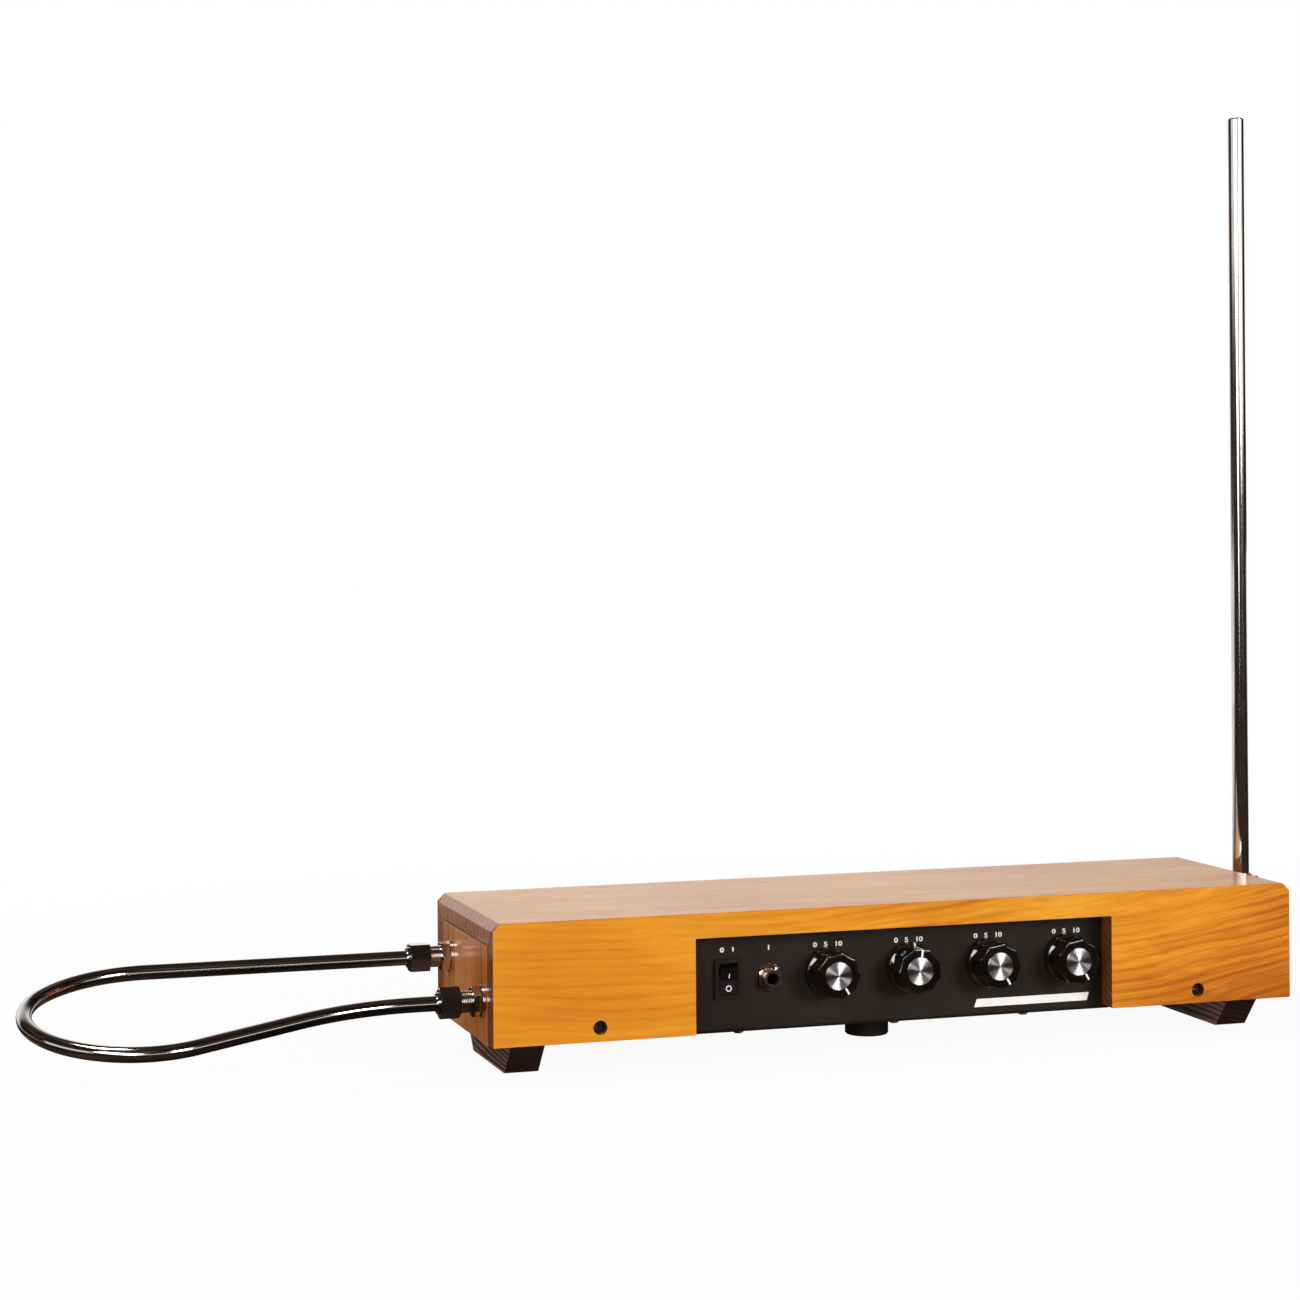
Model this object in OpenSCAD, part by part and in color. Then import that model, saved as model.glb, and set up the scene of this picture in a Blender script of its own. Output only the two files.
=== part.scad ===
// Theremin in a wooden cabinet: a pitch antenna on the right end, a volume loop on
// the left end and a recessed control panel at the front.
// Millimetres. X runs along the cabinet to the right as the player's audience sees
// it, Y runs from the panel to the back, Z is up. The origin is the centre of the
// stand socket's mouth, on the underside of the cabinet.

/* [Cabinet] */
// Length of the cabinet, from end to end
cabinet_w = 457.2; // [440:1:500]
// Depth of the cabinet, from front face to back face
cabinet_d = 124; // [120:1:150]
// Height of the wooden cover
cover_h = 63.5; // [62:0.5:80]
// Thickness of the cover's boards and of the end panels
board_t = 12.7; // [11:0.1:13.5]
// Flat of the bevel along the two top end edges
end_bevel = 4.1; // [1:0.1:8]
// Thickness of the base board
base_t = 12.7; // [10:0.1:13.2]
// How far the base board stands below the cover
base_drop = 1; // [0.2:0.1:3]
// Clearance between the cover and the base and end panels inside it
cover_gap = 0.3; // [0.1:0.05:0.5]

/* [Openings in the cover] */
// Width of the opening in the front board
window_w = 238.8; // [236:0.2:245]
// Height of the opening in the front board
window_h = 50.3; // [46:0.1:50.5]
// Width of the opening in the back board
rear_window_w = 46; // [42:1:60]
// Height of the opening in the back board
rear_window_h = 41; // [38:1:46]
// Middle of the opening in the back board, from the middle of the cabinet
rear_window_x = -140; // [-142:1:-138]

/* [Feet] */
// Width of each foot
foot_w = 18.7; // [16:0.1:24]
// Height of each foot below the base board
foot_h = 17.8; // [17:0.1:26]
// Distance from the cabinet's end to the foot
foot_inset = 12.7; // [8:0.1:24]
// Length lost at each sloped end of a foot
foot_slope = 15.3; // [4:0.1:20]

/* [Control panel] */
// Thickness of the panel's sheet
sheet_t = 1.6; // [1:0.1:2]
// Distance from the wood's front face to the panel's face
panel_recess = 14.8; // [14:0.1:17]
// Width of the panel
panel_w = 250; // [247:1:256]
// Depth of the panel's flange under the base board
flange_d = 12; // [10:0.5:12.5]
// Height of the knobs' centres above the cover's lower edge
knob_z = 26.8; // [25:0.1:28]
// Distance between neighbouring knobs
knob_pitch = 46.5; // [40:0.5:47]
// Middle of the first knob, from the middle of the cabinet
first_knob_x = -40.5; // [-44:0.5:-38]
// Middle of the output jack, from the middle of the cabinet
jack_x = -73.8; // [-76:0.1:-70]
// Height of the output jack above the cover's lower edge
jack_z = 25.5; // [24:0.1:28]
// Middle of the power switch, from the middle of the cabinet
switch_x = -97.1; // [-99:0.1:-94]
// Height of the power switch above the cover's lower edge
switch_z = 26.1; // [24:0.1:28]

/* [Knobs] */
// Height of a knob
knob_h = 16; // [12:0.1:20]
// Largest radius of a knob, at its skirt
skirt_r = 13.5; // [12.8:0.1:14.5]
// Height of a knob's skirt
skirt_h = 5.4; // [4.8:0.1:6]
// Radius of a knob's grip, at the ridges between its scallops
grip_r = 12.4; // [11.8:0.1:12.6]
// Depth of the scallops round a knob's grip
scallop_d = 0.9; // [0.8:0.1:1.2]
// Radius of the metal inlay in a knob's face
inlay_r = 8.25; // [7:0.05:9]
// Thickness of the metal inlay
inlay_t = 0.8; // [0.5:0.1:1]
// Gap between a knob and the panel
knob_gap = 0.8; // [0.5:0.1:2]
// Turn of the pitch knob's pointer from straight up, clockwise
pitch_turn = 7; // [-140:1:140]
// Turn of the other knobs' pointers from straight up, clockwise
stop_turn = 150; // [0:1:150]
// Radius of a control's shaft
shaft_r = 3; // [2.8:0.1:3.2]

/* [Volume loop] */
// Outer radius of the loop's tube
loop_tube_r = 3.95; // [3.6:0.05:4.3]
// Wall of both antennas' tubes
tube_wall = 0.9; // [0.7:0.05:1.2]
// Length of the straight back leg, from the cabinet's end
back_leg_l = 164; // [140:1:190]
// Radius of the bend's first stretch
bend_r_far = 72; // [68:1:80]
// Angle of the bend's first stretch
bend_far_angle = 51; // [45:1:55]
// Radius of the bend's second stretch
bend_r_near = 55; // [53:1:62]
// Angle at which the front leg comes back
return_angle = 25; // [22:1:28]
// Radius of the last bend, before the front fitting
return_r = 150; // [120:1:160]

/* [Fittings] */
// Distance of the back fittings from the cabinet's front face
back_fitting_y = 91.6; // [90:0.1:94]
// Distance of the front fitting from the cabinet's front face
front_fitting_y = 21.6; // [21.2:0.1:24]
// Height of the back fittings above the cover's lower edge
back_fitting_z = 34; // [33:0.1:36]
// Height of the front fitting above the cover's lower edge
front_fitting_z = 21; // [20.6:0.1:23]
// Length of a fitting from the cabinet's end to the outer face of its nut
fitting_l = 23.5; // [22.5:0.1:26]
// Across flats of the loop's nuts and collars
loop_flats = 14.3; // [14.1:0.1:15.4]
// Across flats of the pitch antenna's nut and collar
pitch_flats = 17.5; // [17:0.1:18.5]
// Length of a compression nut, without its nose
nut_l = 10.8; // [10:0.1:12]
// Length of a nut's cone-shaped nose
nose_l = 1.3; // [1:0.1:2.5]
// Turn of the front fitting and its nut from level flats
front_fitting_turn = 30; // [0:5:60]

/* [Pitch antenna] */
// Outer radius of the pitch antenna
rod_r = 4.75; // [4.4:0.05:5]
// Length of the pitch antenna
rod_l = 457.2; // [300:1:520]
// Distance of the pitch antenna from the cabinet's end
rod_x = 20; // [19:0.1:24]

/* [Stand socket] */
// Radius inside the stand socket, at the crests of its thread
socket_r = 7.45; // [7.3:0.01:7.6]
// Depth of the stand socket's thread
socket_l = 12; // [10:0.1:13]
// Height of the socket's mouth above the surface the feet stand on
mouth_rise = 2; // [1:0.1:4]

/* [Hidden] */
$fn = 64;
eps = 0.01;
// A screw's clearance in its hole, and a shaft's in its bearing
screw_gap = 0.05;
shaft_gap = 0.05;
// Radial clearance between a compression nut's thread and the neck inside it
thread_gap = 0.15;

base_z = foot_h - mouth_rise;
base_top = base_z + base_t;
cover_z = base_z + base_drop;
cover_top = cover_z + cover_h;
roof_z = cover_top - board_t;
half_w = cabinet_w / 2;
half_d = cabinet_d / 2;
inner_w = cabinet_w - 2 * board_t;
inner_y = half_d - board_t;

panel_y = -half_d + panel_recess;
panel_back = panel_y + sheet_t;
panel_h = roof_z - 0.3 - (base_z - sheet_t);
base_front = -inner_y + cover_gap;
base_back = inner_y - cover_gap;

// Cover screws
cover_screw_inset = 57;
cover_screw_rise = 7.2;
cover_screw_x = half_w - cover_screw_inset;
cover_screw_z = cover_z + cover_screw_rise;
screw_bore_r = 3.75;
screw_sink = 3.2;
screw_r = 2;
screw_head_r = 3.5;
screw_head_h = 2;
screw_bite = 16;

// Controls
control_z = cover_z + knob_z;
knob_x = [for (i = [0:3]) first_knob_x + i * knob_pitch];
knob_turn = [stop_turn, pitch_turn, stop_turn, stop_turn];
bush_r = 3.5;
bush_proud = 5.5;
pot_r = 8.3;
pot_d = 9.5;
pot_nut_t = 2;
pot_nut_flats = 10;
pot_hole_r = bush_r + 0.1;
pot_tag = [1.6, 6, 0.8];
pot_tag_pitch = 5;
pot_washer_r = 6;
pot_washer_t = 0.5;
// The shaft's thinner journal turns in the bushing, and its end stops in the knob
journal_r = shaft_r - 0.6;
shaft_len = knob_gap + knob_h - 3;
shaft_tail = 8;
// The skirt's rounded shoulder reaches in under the grip, the grip's front edge is soft
shoulder_r = 2.4;
edge_r = 0.5;
knob_wall = 1.6;
hollow_r = grip_r - scallop_d - knob_wall;
// Each scallop is cut by a large cylinder that leaves a narrow ridge on both its sides
scallops = 9;
ridge_half_angle = 1.5;
scallop_half = 180 / scallops - ridge_half_angle;
scallop_bulge = scallop_d - grip_r * (1 - cos(scallop_half));
scallop_cut_r = (pow(scallop_bulge, 2) + pow(grip_r * sin(scallop_half), 2))
    / (2 * scallop_bulge);
groove_w = 1.1;
groove_d = 0.35;
groove_rise = 1.2;
inlay_rim = 0.3;

jack_r = 4.75;
jack_bore_r = 3.25;
jack_proud = 6.5;
jack_body = [17, 22, 16];
jack_nut_t = 2.6;
jack_nut_flats = 12.7;
jack_washer_t = 0.6;
jack_washer_r = 7.4;

switch_w = 13;
switch_h = 19;
bezel_w = 15;
bezel_h = 21;
bezel_t = 2;
switch_depth = 16;
switch_tag = [4.8, 6, 0.8];
rocker_w = 9.6;
rocker_h = 14.6;
rocker_arm = 4.6;
rocker_tilt = 11;
rocker_pin_r = 1;
rocker_pin_inset = 1.2;
rocker_y = panel_y + 1.2;

// Fittings
stem_r = 6.2;
stem_in = 12;
washer_t = 1.8;
washer_r = 8.4;
collar_l = 4.6;
neck_r = 5.6;
pitch_neck_r = 7.2;
inner_nut_t = 4.5;
inner_nut_flats = 15;
inner_washer_t = 1;
tube_gap = 0.08;
neck_in_nut = 7;
neck_end = fitting_l - nut_l + neck_in_nut;
tube_stop = 3;
ferrule_l = 3;
seam_l = 0.8;
seam_rise = 0.02;

fit_back = [-half_w, -half_d + back_fitting_y, cover_z + back_fitting_z];
fit_front = [-half_w, -half_d + front_fitting_y, cover_z + front_fitting_z];
fit_pitch = [half_w, fit_back[1], fit_back[2]];
leg_spacing = norm(fit_back - fit_front);
loop_tilt = atan((back_fitting_z - front_fitting_z) / (back_fitting_y - front_fitting_y));
rod_seat = 10;
elbow_r = 7.5;
elbow_bore_r = 2.3;
elbow_neck_end = nut_l + neck_in_nut;
elbow_barrel_r = elbow_r + 0.1;
elbow_ball_r = elbow_r + 0.3;
nut_thread_l = neck_in_nut + 1;
nut_cone_l = 2;

// Volume loop, drawn flat: u runs out from the cabinet's end, v from the back leg
// to the front leg
slant_l = (bend_r_far * (1 - cos(bend_far_angle))
    + bend_r_near * (cos(bend_far_angle) + cos(return_angle))
    - return_r * (1 - cos(return_angle)) - leg_spacing) / sin(return_angle);
loop_p1 = [back_leg_l, 0];
loop_c1 = loop_p1 + [0, bend_r_far];
loop_p2 = loop_c1 + bend_r_far * [sin(bend_far_angle), -cos(bend_far_angle)];
loop_c2 = loop_p2 + bend_r_near * [-sin(bend_far_angle), cos(bend_far_angle)];
loop_p3 = loop_c2 + bend_r_near * [-sin(return_angle), cos(return_angle)];
loop_p4 = loop_p3 - slant_l * [cos(return_angle), sin(return_angle)];
loop_c3 = loop_p4 + return_r * [-sin(return_angle), cos(return_angle)];
loop_p5 = loop_c3 - [0, return_r];

// Board and parts inside
board_l = 216;
board_front = panel_back + jack_body[1] + 5;
board_back = base_back - 8;
board_sheet = 1.6;
standoff_h = 8;
standoff_r = 3;
board_z = base_top + standoff_h;
board_hole_x = board_l / 2 - 6;
board_hole_in = 5;
board_screw_r = 1.5;
wire_r = 0.9;
lead_in = 3;
bracket_t = 1.6;
bracket_w = 56;
bracket_h = roof_z - base_top - 6;
bracket_foot = 12;
coil_core_r = 2;
coil_r = 8;
coil_l = 16;
coil_pitch = 18;
coil_z = base_top + 19;
pitch_coil_x = inner_w / 2 - 26;
volume_coil_x = -inner_w / 2 + 32;

socket_r_out = 12;
flange_r = 34;
flange_t = 3.2;
flange_holes_r = 25;
flange_screw_r = 2;

inlet_plate_w = 50;
inlet_plate_h = 31;
inlet_foot_d = 12;
inlet_r = 6;
inlet_rise = 24;
inlet_z = cover_z + inlet_rise;
inlet_depth = 10;
inlet_proud = 2.5;
inlet_ring_t = 1.4;
inlet_nut_t = 3;
inlet_bore_r = 2.8;
inlet_bore_l = 7;
inlet_pin_r = 1.05;

wood = "#d98a2b";
dark_wood = "#4a2c1c";
black = "#26231f";
nickel = "#b9b6b2";
brass = "#b59a55";

// ---------------------------------------------------------------- shared shapes

// A hexagon of a nut or collar, with two flats level
module hex_bar(flats, h) {
    rotate([0, 0, 30])
        cylinder(r = flats / 2 / cos(30), h = h, $fn = 6);
}

// A hexagonal nut whose outer corners are turned off
module turned_hex(flats, h, turn = 0.6) {
    corner = flats / 2 / cos(30);
    intersection() {
        hex_bar(flats, h);
        union() {
            cylinder(r = corner, h = h - turn);
            translate([0, 0, h - turn])
                cylinder(r1 = corner, r2 = corner - turn * 1.7, h = turn);
        }
    }
}

// A cross-head screw along +Z, its head's top face at z = 0
module screw(r, length, head_r, head_h) {
    difference() {
        union() {
            translate([0, 0, -head_h]) {
                cylinder(r = head_r, h = head_h * 0.6);
                translate([0, 0, head_h * 0.6])
                    cylinder(r1 = head_r, r2 = head_r * 0.7, h = head_h * 0.4);
            }
            translate([0, 0, -length])
                cylinder(r = r, h = length - head_h + eps);
        }
        for (a = [0, 90])
            rotate([0, 0, a])
                translate([-head_r * 0.55, -head_r * 0.11, -head_h * 0.6])
                    cube([head_r * 1.1, head_r * 0.22, head_h]);
    }
}

// Place along -X, outwards from the left end
module at_left(p) {
    translate(p)
        rotate([0, -90, 0])
            children();
}

// Place along -Y, outwards from the panel's face
module at_panel(x, z) {
    translate([x, panel_y, z])
        rotate([90, 0, 0])
            children();
}

// ---------------------------------------------------------------- cabinet

// A board of the cover that runs the cabinet's length, mitred along one or both
// edges; the outline lies in Y and Z
module long_board(outline) {
    translate([-half_w, 0, 0])
        rotate([90, 0, 90])
            linear_extrude(cabinet_w)
                polygon(outline);
}

// The corners cut off both ends of the cover's top
module end_bevels() {
    for (s = [-1, 1])
        translate([s * half_w, 0, cover_top])
            rotate([0, 45, 0])
                cube([end_bevel * sqrt(2), cabinet_d + 2, end_bevel * sqrt(2)], center = true);
}

module top_board() {
    color(wood)
        difference() {
            long_board([[-half_d, cover_top], [half_d, cover_top], [inner_y, roof_z],
                [-inner_y, roof_z]]);
            end_bevels();
        }
}

// The front board, from the mitre at its top edge down
module front_board() {
    color(wood)
        difference() {
            long_board([[-half_d, cover_z], [-inner_y, cover_z], [-inner_y, roof_z],
                [-half_d, cover_top]]);
            end_bevels();
            translate([-window_w / 2, -half_d - 1, cover_z - 1])
                cube([window_w, board_t + 2, window_h + 1]);
            for (s = [-1, 1])
                translate([s * cover_screw_x, -half_d, cover_screw_z])
                    rotate([-90, 0, 0])
                        cover_screw_hole();
        }
}

module back_board() {
    color(wood)
        difference() {
            long_board([[half_d, cover_z], [half_d, cover_top], [inner_y, roof_z],
                [inner_y, cover_z]]);
            end_bevels();
            translate([rear_window_x - rear_window_w / 2, inner_y - 1, cover_z - 1])
                cube([rear_window_w, board_t + 2, rear_window_h + 1]);
            for (s = [-1, 1])
                translate([s * cover_screw_x, half_d, cover_screw_z])
                    rotate([90, 0, 0])
                        cover_screw_hole();
        }
}

// Sunk hole for a cover screw, going in along +Z
module cover_screw_hole() {
    translate([0, 0, -eps])
        cylinder(r = screw_bore_r, h = screw_sink + screw_head_h + eps);
    cylinder(r = screw_r + screw_gap, h = board_t + 1);
}

module cover_screws() {
    for (s = [-1, 1]) {
        translate([s * cover_screw_x, -half_d + screw_sink, cover_screw_z])
            rotate([90, 0, 0])
                color(black) screw(screw_r, board_t - screw_sink + screw_bite, screw_head_r,
                    screw_head_h);
        translate([s * cover_screw_x, half_d - screw_sink, cover_screw_z])
            rotate([-90, 0, 0])
                color(black) screw(screw_r, board_t - screw_sink + screw_bite, screw_head_r,
                    screw_head_h);
    }
}

// An end panel between the cover's front and back boards, drawn at x = 0 outwards
// to +board_t
module end_panel_blank() {
    translate([0, base_front, base_z])
        cube([board_t, base_back - base_front, roof_z - cover_gap - base_z]);
}

module left_end_panel() {
    color(wood)
        difference() {
            translate([-half_w, 0, 0])
                end_panel_blank();
            for (p = [fit_back, fit_front])
                translate(p - [1, 0, 0])
                    rotate([0, 90, 0])
                        cylinder(r = stem_r + screw_gap, h = board_t + 2);
        }
}

module right_end_panel() {
    color(wood)
        difference() {
            translate([half_w - board_t, 0, 0])
                end_panel_blank();
            translate(fit_pitch - [board_t + 1, 0, 0])
                rotate([0, 90, 0])
                    cylinder(r = stem_r + screw_gap, h = board_t + 2);
        }
}

module base_board() {
    color(dark_wood)
        difference() {
            translate([-inner_w / 2, base_front, base_z])
                cube([inner_w, base_back - base_front, base_t]);
            // Room for the panel's sheet in the front edge
            translate([-panel_w / 2 - 0.5, base_front - 1, base_z - 1])
                cube([panel_w + 1, panel_back + panel_room - base_front + 1, base_t + 2]);
            for (s = [-1, 1]) {
                for (y = [base_front - eps, base_back - screw_bite])
                    translate([s * cover_screw_x, y, cover_screw_z])
                        rotate([-90, 0, 0])
                            cylinder(r = screw_r + screw_gap, h = screw_bite + eps);
                for (y = foot_screw_y)
                    translate([s * foot_x, y, base_z - eps])
                        cylinder(r = screw_r + screw_gap, h = foot_screw_bite + 0.5);
            }
            for (x = panel_screw_x)
                translate([x, panel_screw_y, base_z - eps])
                    cylinder(r = panel_screw_r + screw_gap, h = panel_screw_l);
            for (a = flange_screw_angles)
                translate([flange_holes_r * cos(a), flange_holes_r * sin(a), base_z - eps])
                    cylinder(r = flange_screw_r + screw_gap, h = flange_screw_l - flange_t + 0.5);
            for (p = standoff_places)
                translate([p[0], p[1], base_top - 6])
                    cylinder(r = board_screw_r + screw_gap, h = 7);
        }
}

// ---------------------------------------------------------------- feet

foot_x = half_w - foot_inset - foot_w / 2;
foot_screw_y = [-18, 18];
foot_screw_bite = 8;
foot_sink = 9;

module foot(x) {
    color(dark_wood)
        difference() {
            translate([x - foot_w / 2, 0, 0])
                rotate([90, 0, 90])
                    linear_extrude(foot_w)
                        polygon([[base_front, base_z], [base_back, base_z],
                            [base_back - foot_slope, base_z - foot_h],
                            [base_front + foot_slope, base_z - foot_h]]);
            for (y = foot_screw_y)
                translate([x, y, base_z - foot_h - eps]) {
                    cylinder(r = screw_head_r + 0.4, h = foot_sink + eps);
                    cylinder(r = screw_r + screw_gap, h = foot_h + 1);
                }
        }
}

module left_foot() foot(-foot_x);

module right_foot() foot(foot_x);

module foot_screws() {
    for (s = [-1, 1], y = foot_screw_y)
        translate([s * foot_x, y, base_z - foot_h + foot_sink - screw_head_h])
            rotate([180, 0, 0])
                color(black) screw(screw_r, foot_h - foot_sink + screw_head_h + foot_screw_bite,
                    screw_head_r, screw_head_h);
}

// ---------------------------------------------------------------- control panel

panel_screw_x = [-89, 0, 76];
panel_screw_y = panel_y + 7;
panel_screw_r = 1.5;
panel_screw_l = 9;
panel_bend_r = 2.2;
// Room left behind the panel for the inside of its bend
panel_room = panel_bend_r - sheet_t + 0.1;

// The sheet's section: face, rounded bend and flange under the base board
module panel_section() {
    low = base_z - sheet_t;
    difference() {
        union() {
            translate([panel_y, low + panel_bend_r])
                square([sheet_t, panel_h - panel_bend_r]);
            translate([panel_y + panel_bend_r, low])
                square([flange_d - panel_bend_r, sheet_t]);
            intersection() {
                translate([panel_y, low])
                    square(panel_bend_r);
                translate([panel_y + panel_bend_r, low + panel_bend_r])
                    circle(r = panel_bend_r);
            }
        }
        translate([panel_y + panel_bend_r, low + panel_bend_r])
            circle(r = panel_bend_r - sheet_t);
    }
}

module control_panel() {
    color(black)
        difference() {
            translate([-panel_w / 2, 0, 0])
                rotate([90, 0, 90])
                    linear_extrude(panel_w)
                        panel_section();
            for (x = knob_x)
                translate([x, panel_y - 1, control_z])
                    rotate([-90, 0, 0])
                        cylinder(r = pot_hole_r, h = sheet_t + 2);
            translate([jack_x, panel_y - 1, cover_z + jack_z])
                rotate([-90, 0, 0])
                    cylinder(r = jack_r + 0.1, h = sheet_t + 2);
            translate([switch_x - switch_w / 2 - 0.1, panel_y - 1,
                cover_z + switch_z - switch_h / 2 - 0.1])
                cube([switch_w + 0.2, sheet_t + 2, switch_h + 0.2]);
            for (x = panel_screw_x)
                translate([x, panel_screw_y, base_z - sheet_t - 1])
                    cylinder(r = panel_screw_r + screw_gap, h = sheet_t + 2);
        }
}

module panel_screws() {
    for (x = panel_screw_x)
        translate([x, panel_screw_y, base_z - sheet_t - 1.6])
            rotate([180, 0, 0])
                color(nickel) screw(panel_screw_r, panel_screw_l, 2.8, 1.6);
}

// ---------------------------------------------------------------- power switch

// Hollow of the switch's mouth, in which the rocker tips
rocker_room = [rocker_w + 0.8, 7.4, rocker_h + 2.4];

module switch_housing() {
    translate([switch_x, panel_y, cover_z + switch_z])
        color(black)
            difference() {
                union() {
                    translate([-bezel_w / 2, -bezel_t, -bezel_h / 2])
                        cube([bezel_w, bezel_t, bezel_h]);
                    translate([-switch_w / 2, -eps, -switch_h / 2])
                        cube([switch_w, switch_depth, switch_h]);
                }
                translate([-rocker_room[0] / 2, -bezel_t - 1, -rocker_room[2] / 2])
                    cube([rocker_room[0], rocker_room[1] + 1, rocker_room[2]]);
                // Sockets for the rocker's two trunnions
                translate([-rocker_w / 2 - rocker_pin_inset - 0.1, rocker_y - panel_y, 0])
                    rotate([0, 90, 0])
                        cylinder(r = rocker_pin_r + shaft_gap,
                            h = rocker_w + 2 * rocker_pin_inset + 0.2);
            }
    // Two solder tags
    for (z = [-4, 4])
        translate([switch_x - switch_tag[0] / 2, panel_y + switch_depth - eps,
            cover_z + switch_z + z - switch_tag[2] / 2])
            color(brass) cube(switch_tag);
}

// The rocker's side outline: two flats that meet in a shallow valley, one of them
// pressed in
module rocker_side() {
    half = rocker_h / 2;
    lift = half * tan(rocker_tilt);
    polygon([[-half, -lift], [0, 0], [half, -lift], [half - 0.8, rocker_arm], [-half + 0.8,
        rocker_arm]]);
}

module power_rocker() {
    translate([switch_x, rocker_y, cover_z + switch_z])
        rotate([rocker_tilt, 0, 0])
            color(black) {
                translate([-rocker_w / 2, -3.2, 0])
                    rotate([0, 90, 0])
                        linear_extrude(rocker_w)
                            rocker_side();
                translate([-rocker_w / 2 - rocker_pin_inset, 0, 0])
                    rotate([0, 90, 0])
                        cylinder(r = rocker_pin_r, h = rocker_w + 2 * rocker_pin_inset);
            }
}

// ---------------------------------------------------------------- output jack

module output_jack() {
    at_panel(jack_x, cover_z + jack_z)
        difference() {
            union() {
                color(nickel) translate([0, 0, -sheet_t - 1])
                    cylinder(r = jack_r, h = sheet_t + 1 + jack_proud);
                color(black) translate([-jack_body[0] / 2, -jack_body[2] / 2,
                    -sheet_t - jack_body[1]])
                    cube([jack_body[0], jack_body[2], jack_body[1]]);
            }
            translate([0, 0, -sheet_t - jack_body[1] + 3])
                cylinder(r = jack_bore_r, h = jack_body[1] + sheet_t + jack_proud);
        }
}

module output_jack_nut() {
    at_panel(jack_x, cover_z + jack_z)
        color(nickel)
            difference() {
                union() {
                    cylinder(r = jack_washer_r, h = jack_washer_t);
                    translate([0, 0, jack_washer_t - eps])
                        turned_hex(jack_nut_flats, jack_nut_t);
                }
                translate([0, 0, -1])
                    cylinder(r = jack_r + screw_gap, h = jack_nut_t + 4);
            }
}

// ---------------------------------------------------------------- rotary controls

// The fixed part of a rotary control: can, bushing and three tags
module pot(x) {
    at_panel(x, control_z) {
        difference() {
            union() {
                color(nickel) translate([0, 0, -sheet_t - pot_d])
                    cylinder(r = pot_r, h = pot_d);
                color(brass) translate([0, 0, -sheet_t - eps])
                    cylinder(r = bush_r, h = sheet_t + bush_proud);
            }
            translate([0, 0, -sheet_t - shaft_tail])
                cylinder(r = journal_r + shaft_gap, h = pot_d + bush_proud + sheet_t);
        }
        for (i = [-1:1])
            color(brass) translate([i * pot_tag_pitch - pot_tag[0] / 2, -pot_r - 4, -sheet_t - 4])
                cube(pot_tag);
    }
}

module volume_pot() pot(knob_x[0]);

module pitch_pot() pot(knob_x[1]);

module waveform_pot() pot(knob_x[2]);

module brightness_pot() pot(knob_x[3]);

module pot_nuts() {
    for (x = knob_x)
        at_panel(x, control_z)
            color(nickel)
                difference() {
                    union() {
                        cylinder(r = pot_washer_r, h = pot_washer_t);
                        translate([0, 0, pot_washer_t - eps])
                            turned_hex(pot_nut_flats, pot_nut_t, 0.4);
                    }
                    translate([0, 0, -1])
                        cylinder(r = bush_r + screw_gap, h = pot_nut_t + 4);
                }
}

// A control's shaft: a journal inside the bushing and a thicker end in the knob
module shaft(i) {
    at_panel(knob_x[i], control_z)
        color(nickel) {
            translate([0, 0, -sheet_t - shaft_tail + 0.3])
                cylinder(r = journal_r, h = sheet_t + shaft_tail + bush_proud);
            translate([0, 0, bush_proud + 0.3])
                cylinder(r = shaft_r, h = shaft_len - bush_proud - 0.3);
        }
}

module volume_shaft() shaft(0);

module pitch_shaft() shaft(1);

module waveform_shaft() shaft(2);

module brightness_shaft() shaft(3);

// A disc along +Z whose front edge is rounded
module rounded_disc(r, h, round) {
    rotate_extrude() {
        square([r, h - round]);
        square([r - round, h]);
        translate([r - round, h - round])
            intersection() {
                square(round);
                circle(r = round);
            }
    }
}

// A knob's grip, with a scallop in line with the pointer
module knob_grip() {
    difference() {
        translate([0, 0, 1])
            rounded_disc(grip_r, knob_h - 1, edge_r);
        for (i = [0:scallops - 1])
            rotate([0, 0, 90 + i * 360 / scallops])
                translate([grip_r - scallop_d + scallop_cut_r, 0, 0])
                    cylinder(r = scallop_cut_r, h = knob_h + 1);
    }
}

module knob(i) {
    at_panel(knob_x[i], control_z)
        translate([0, 0, knob_gap])
            rotate([0, 0, -knob_turn[i]])
                color(black)
                    difference() {
                        union() {
                            rounded_disc(skirt_r, skirt_h, shoulder_r);
                            knob_grip();
                        }
                        // Seat of the inlay
                        translate([0, 0, knob_h - inlay_t])
                            cylinder(r = inlay_r + screw_gap, h = inlay_t + 1);
                        // Hollow back, round the control's nut
                        translate([0, 0, -1])
                            cylinder(r = hollow_r, h = bush_proud - knob_gap + 1.6);
                        translate([0, 0, -1])
                            cylinder(r = shaft_r + screw_gap, h = shaft_len - knob_gap + 1);
                        // Groove of the pointer, over the skirt, the grip and the face
                        difference() {
                            translate([-groove_w / 2, inlay_r + inlay_rim, groove_rise])
                                cube([groove_w, skirt_r, knob_h]);
                            rounded_disc(skirt_r - groove_d, skirt_h - groove_d, shoulder_r);
                            cylinder(r = grip_r - scallop_d - groove_d, h = knob_h - groove_d);
                        }
                    }
}

module volume_knob() knob(0);

module pitch_knob() knob(1);

module waveform_knob() knob(2);

module brightness_knob() knob(3);

// The turned metal disc in a knob's face
module inlay(i) {
    at_panel(knob_x[i], control_z)
        translate([0, 0, knob_gap + knob_h - inlay_t])
            color(nickel) {
                cylinder(r = inlay_r, h = inlay_t - 0.2);
                translate([0, 0, inlay_t - 0.2 - eps])
                    cylinder(r1 = inlay_r, r2 = inlay_r - 0.3, h = 0.3);
            }
}

module volume_inlay() inlay(0);

module pitch_inlay() inlay(1);

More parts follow.
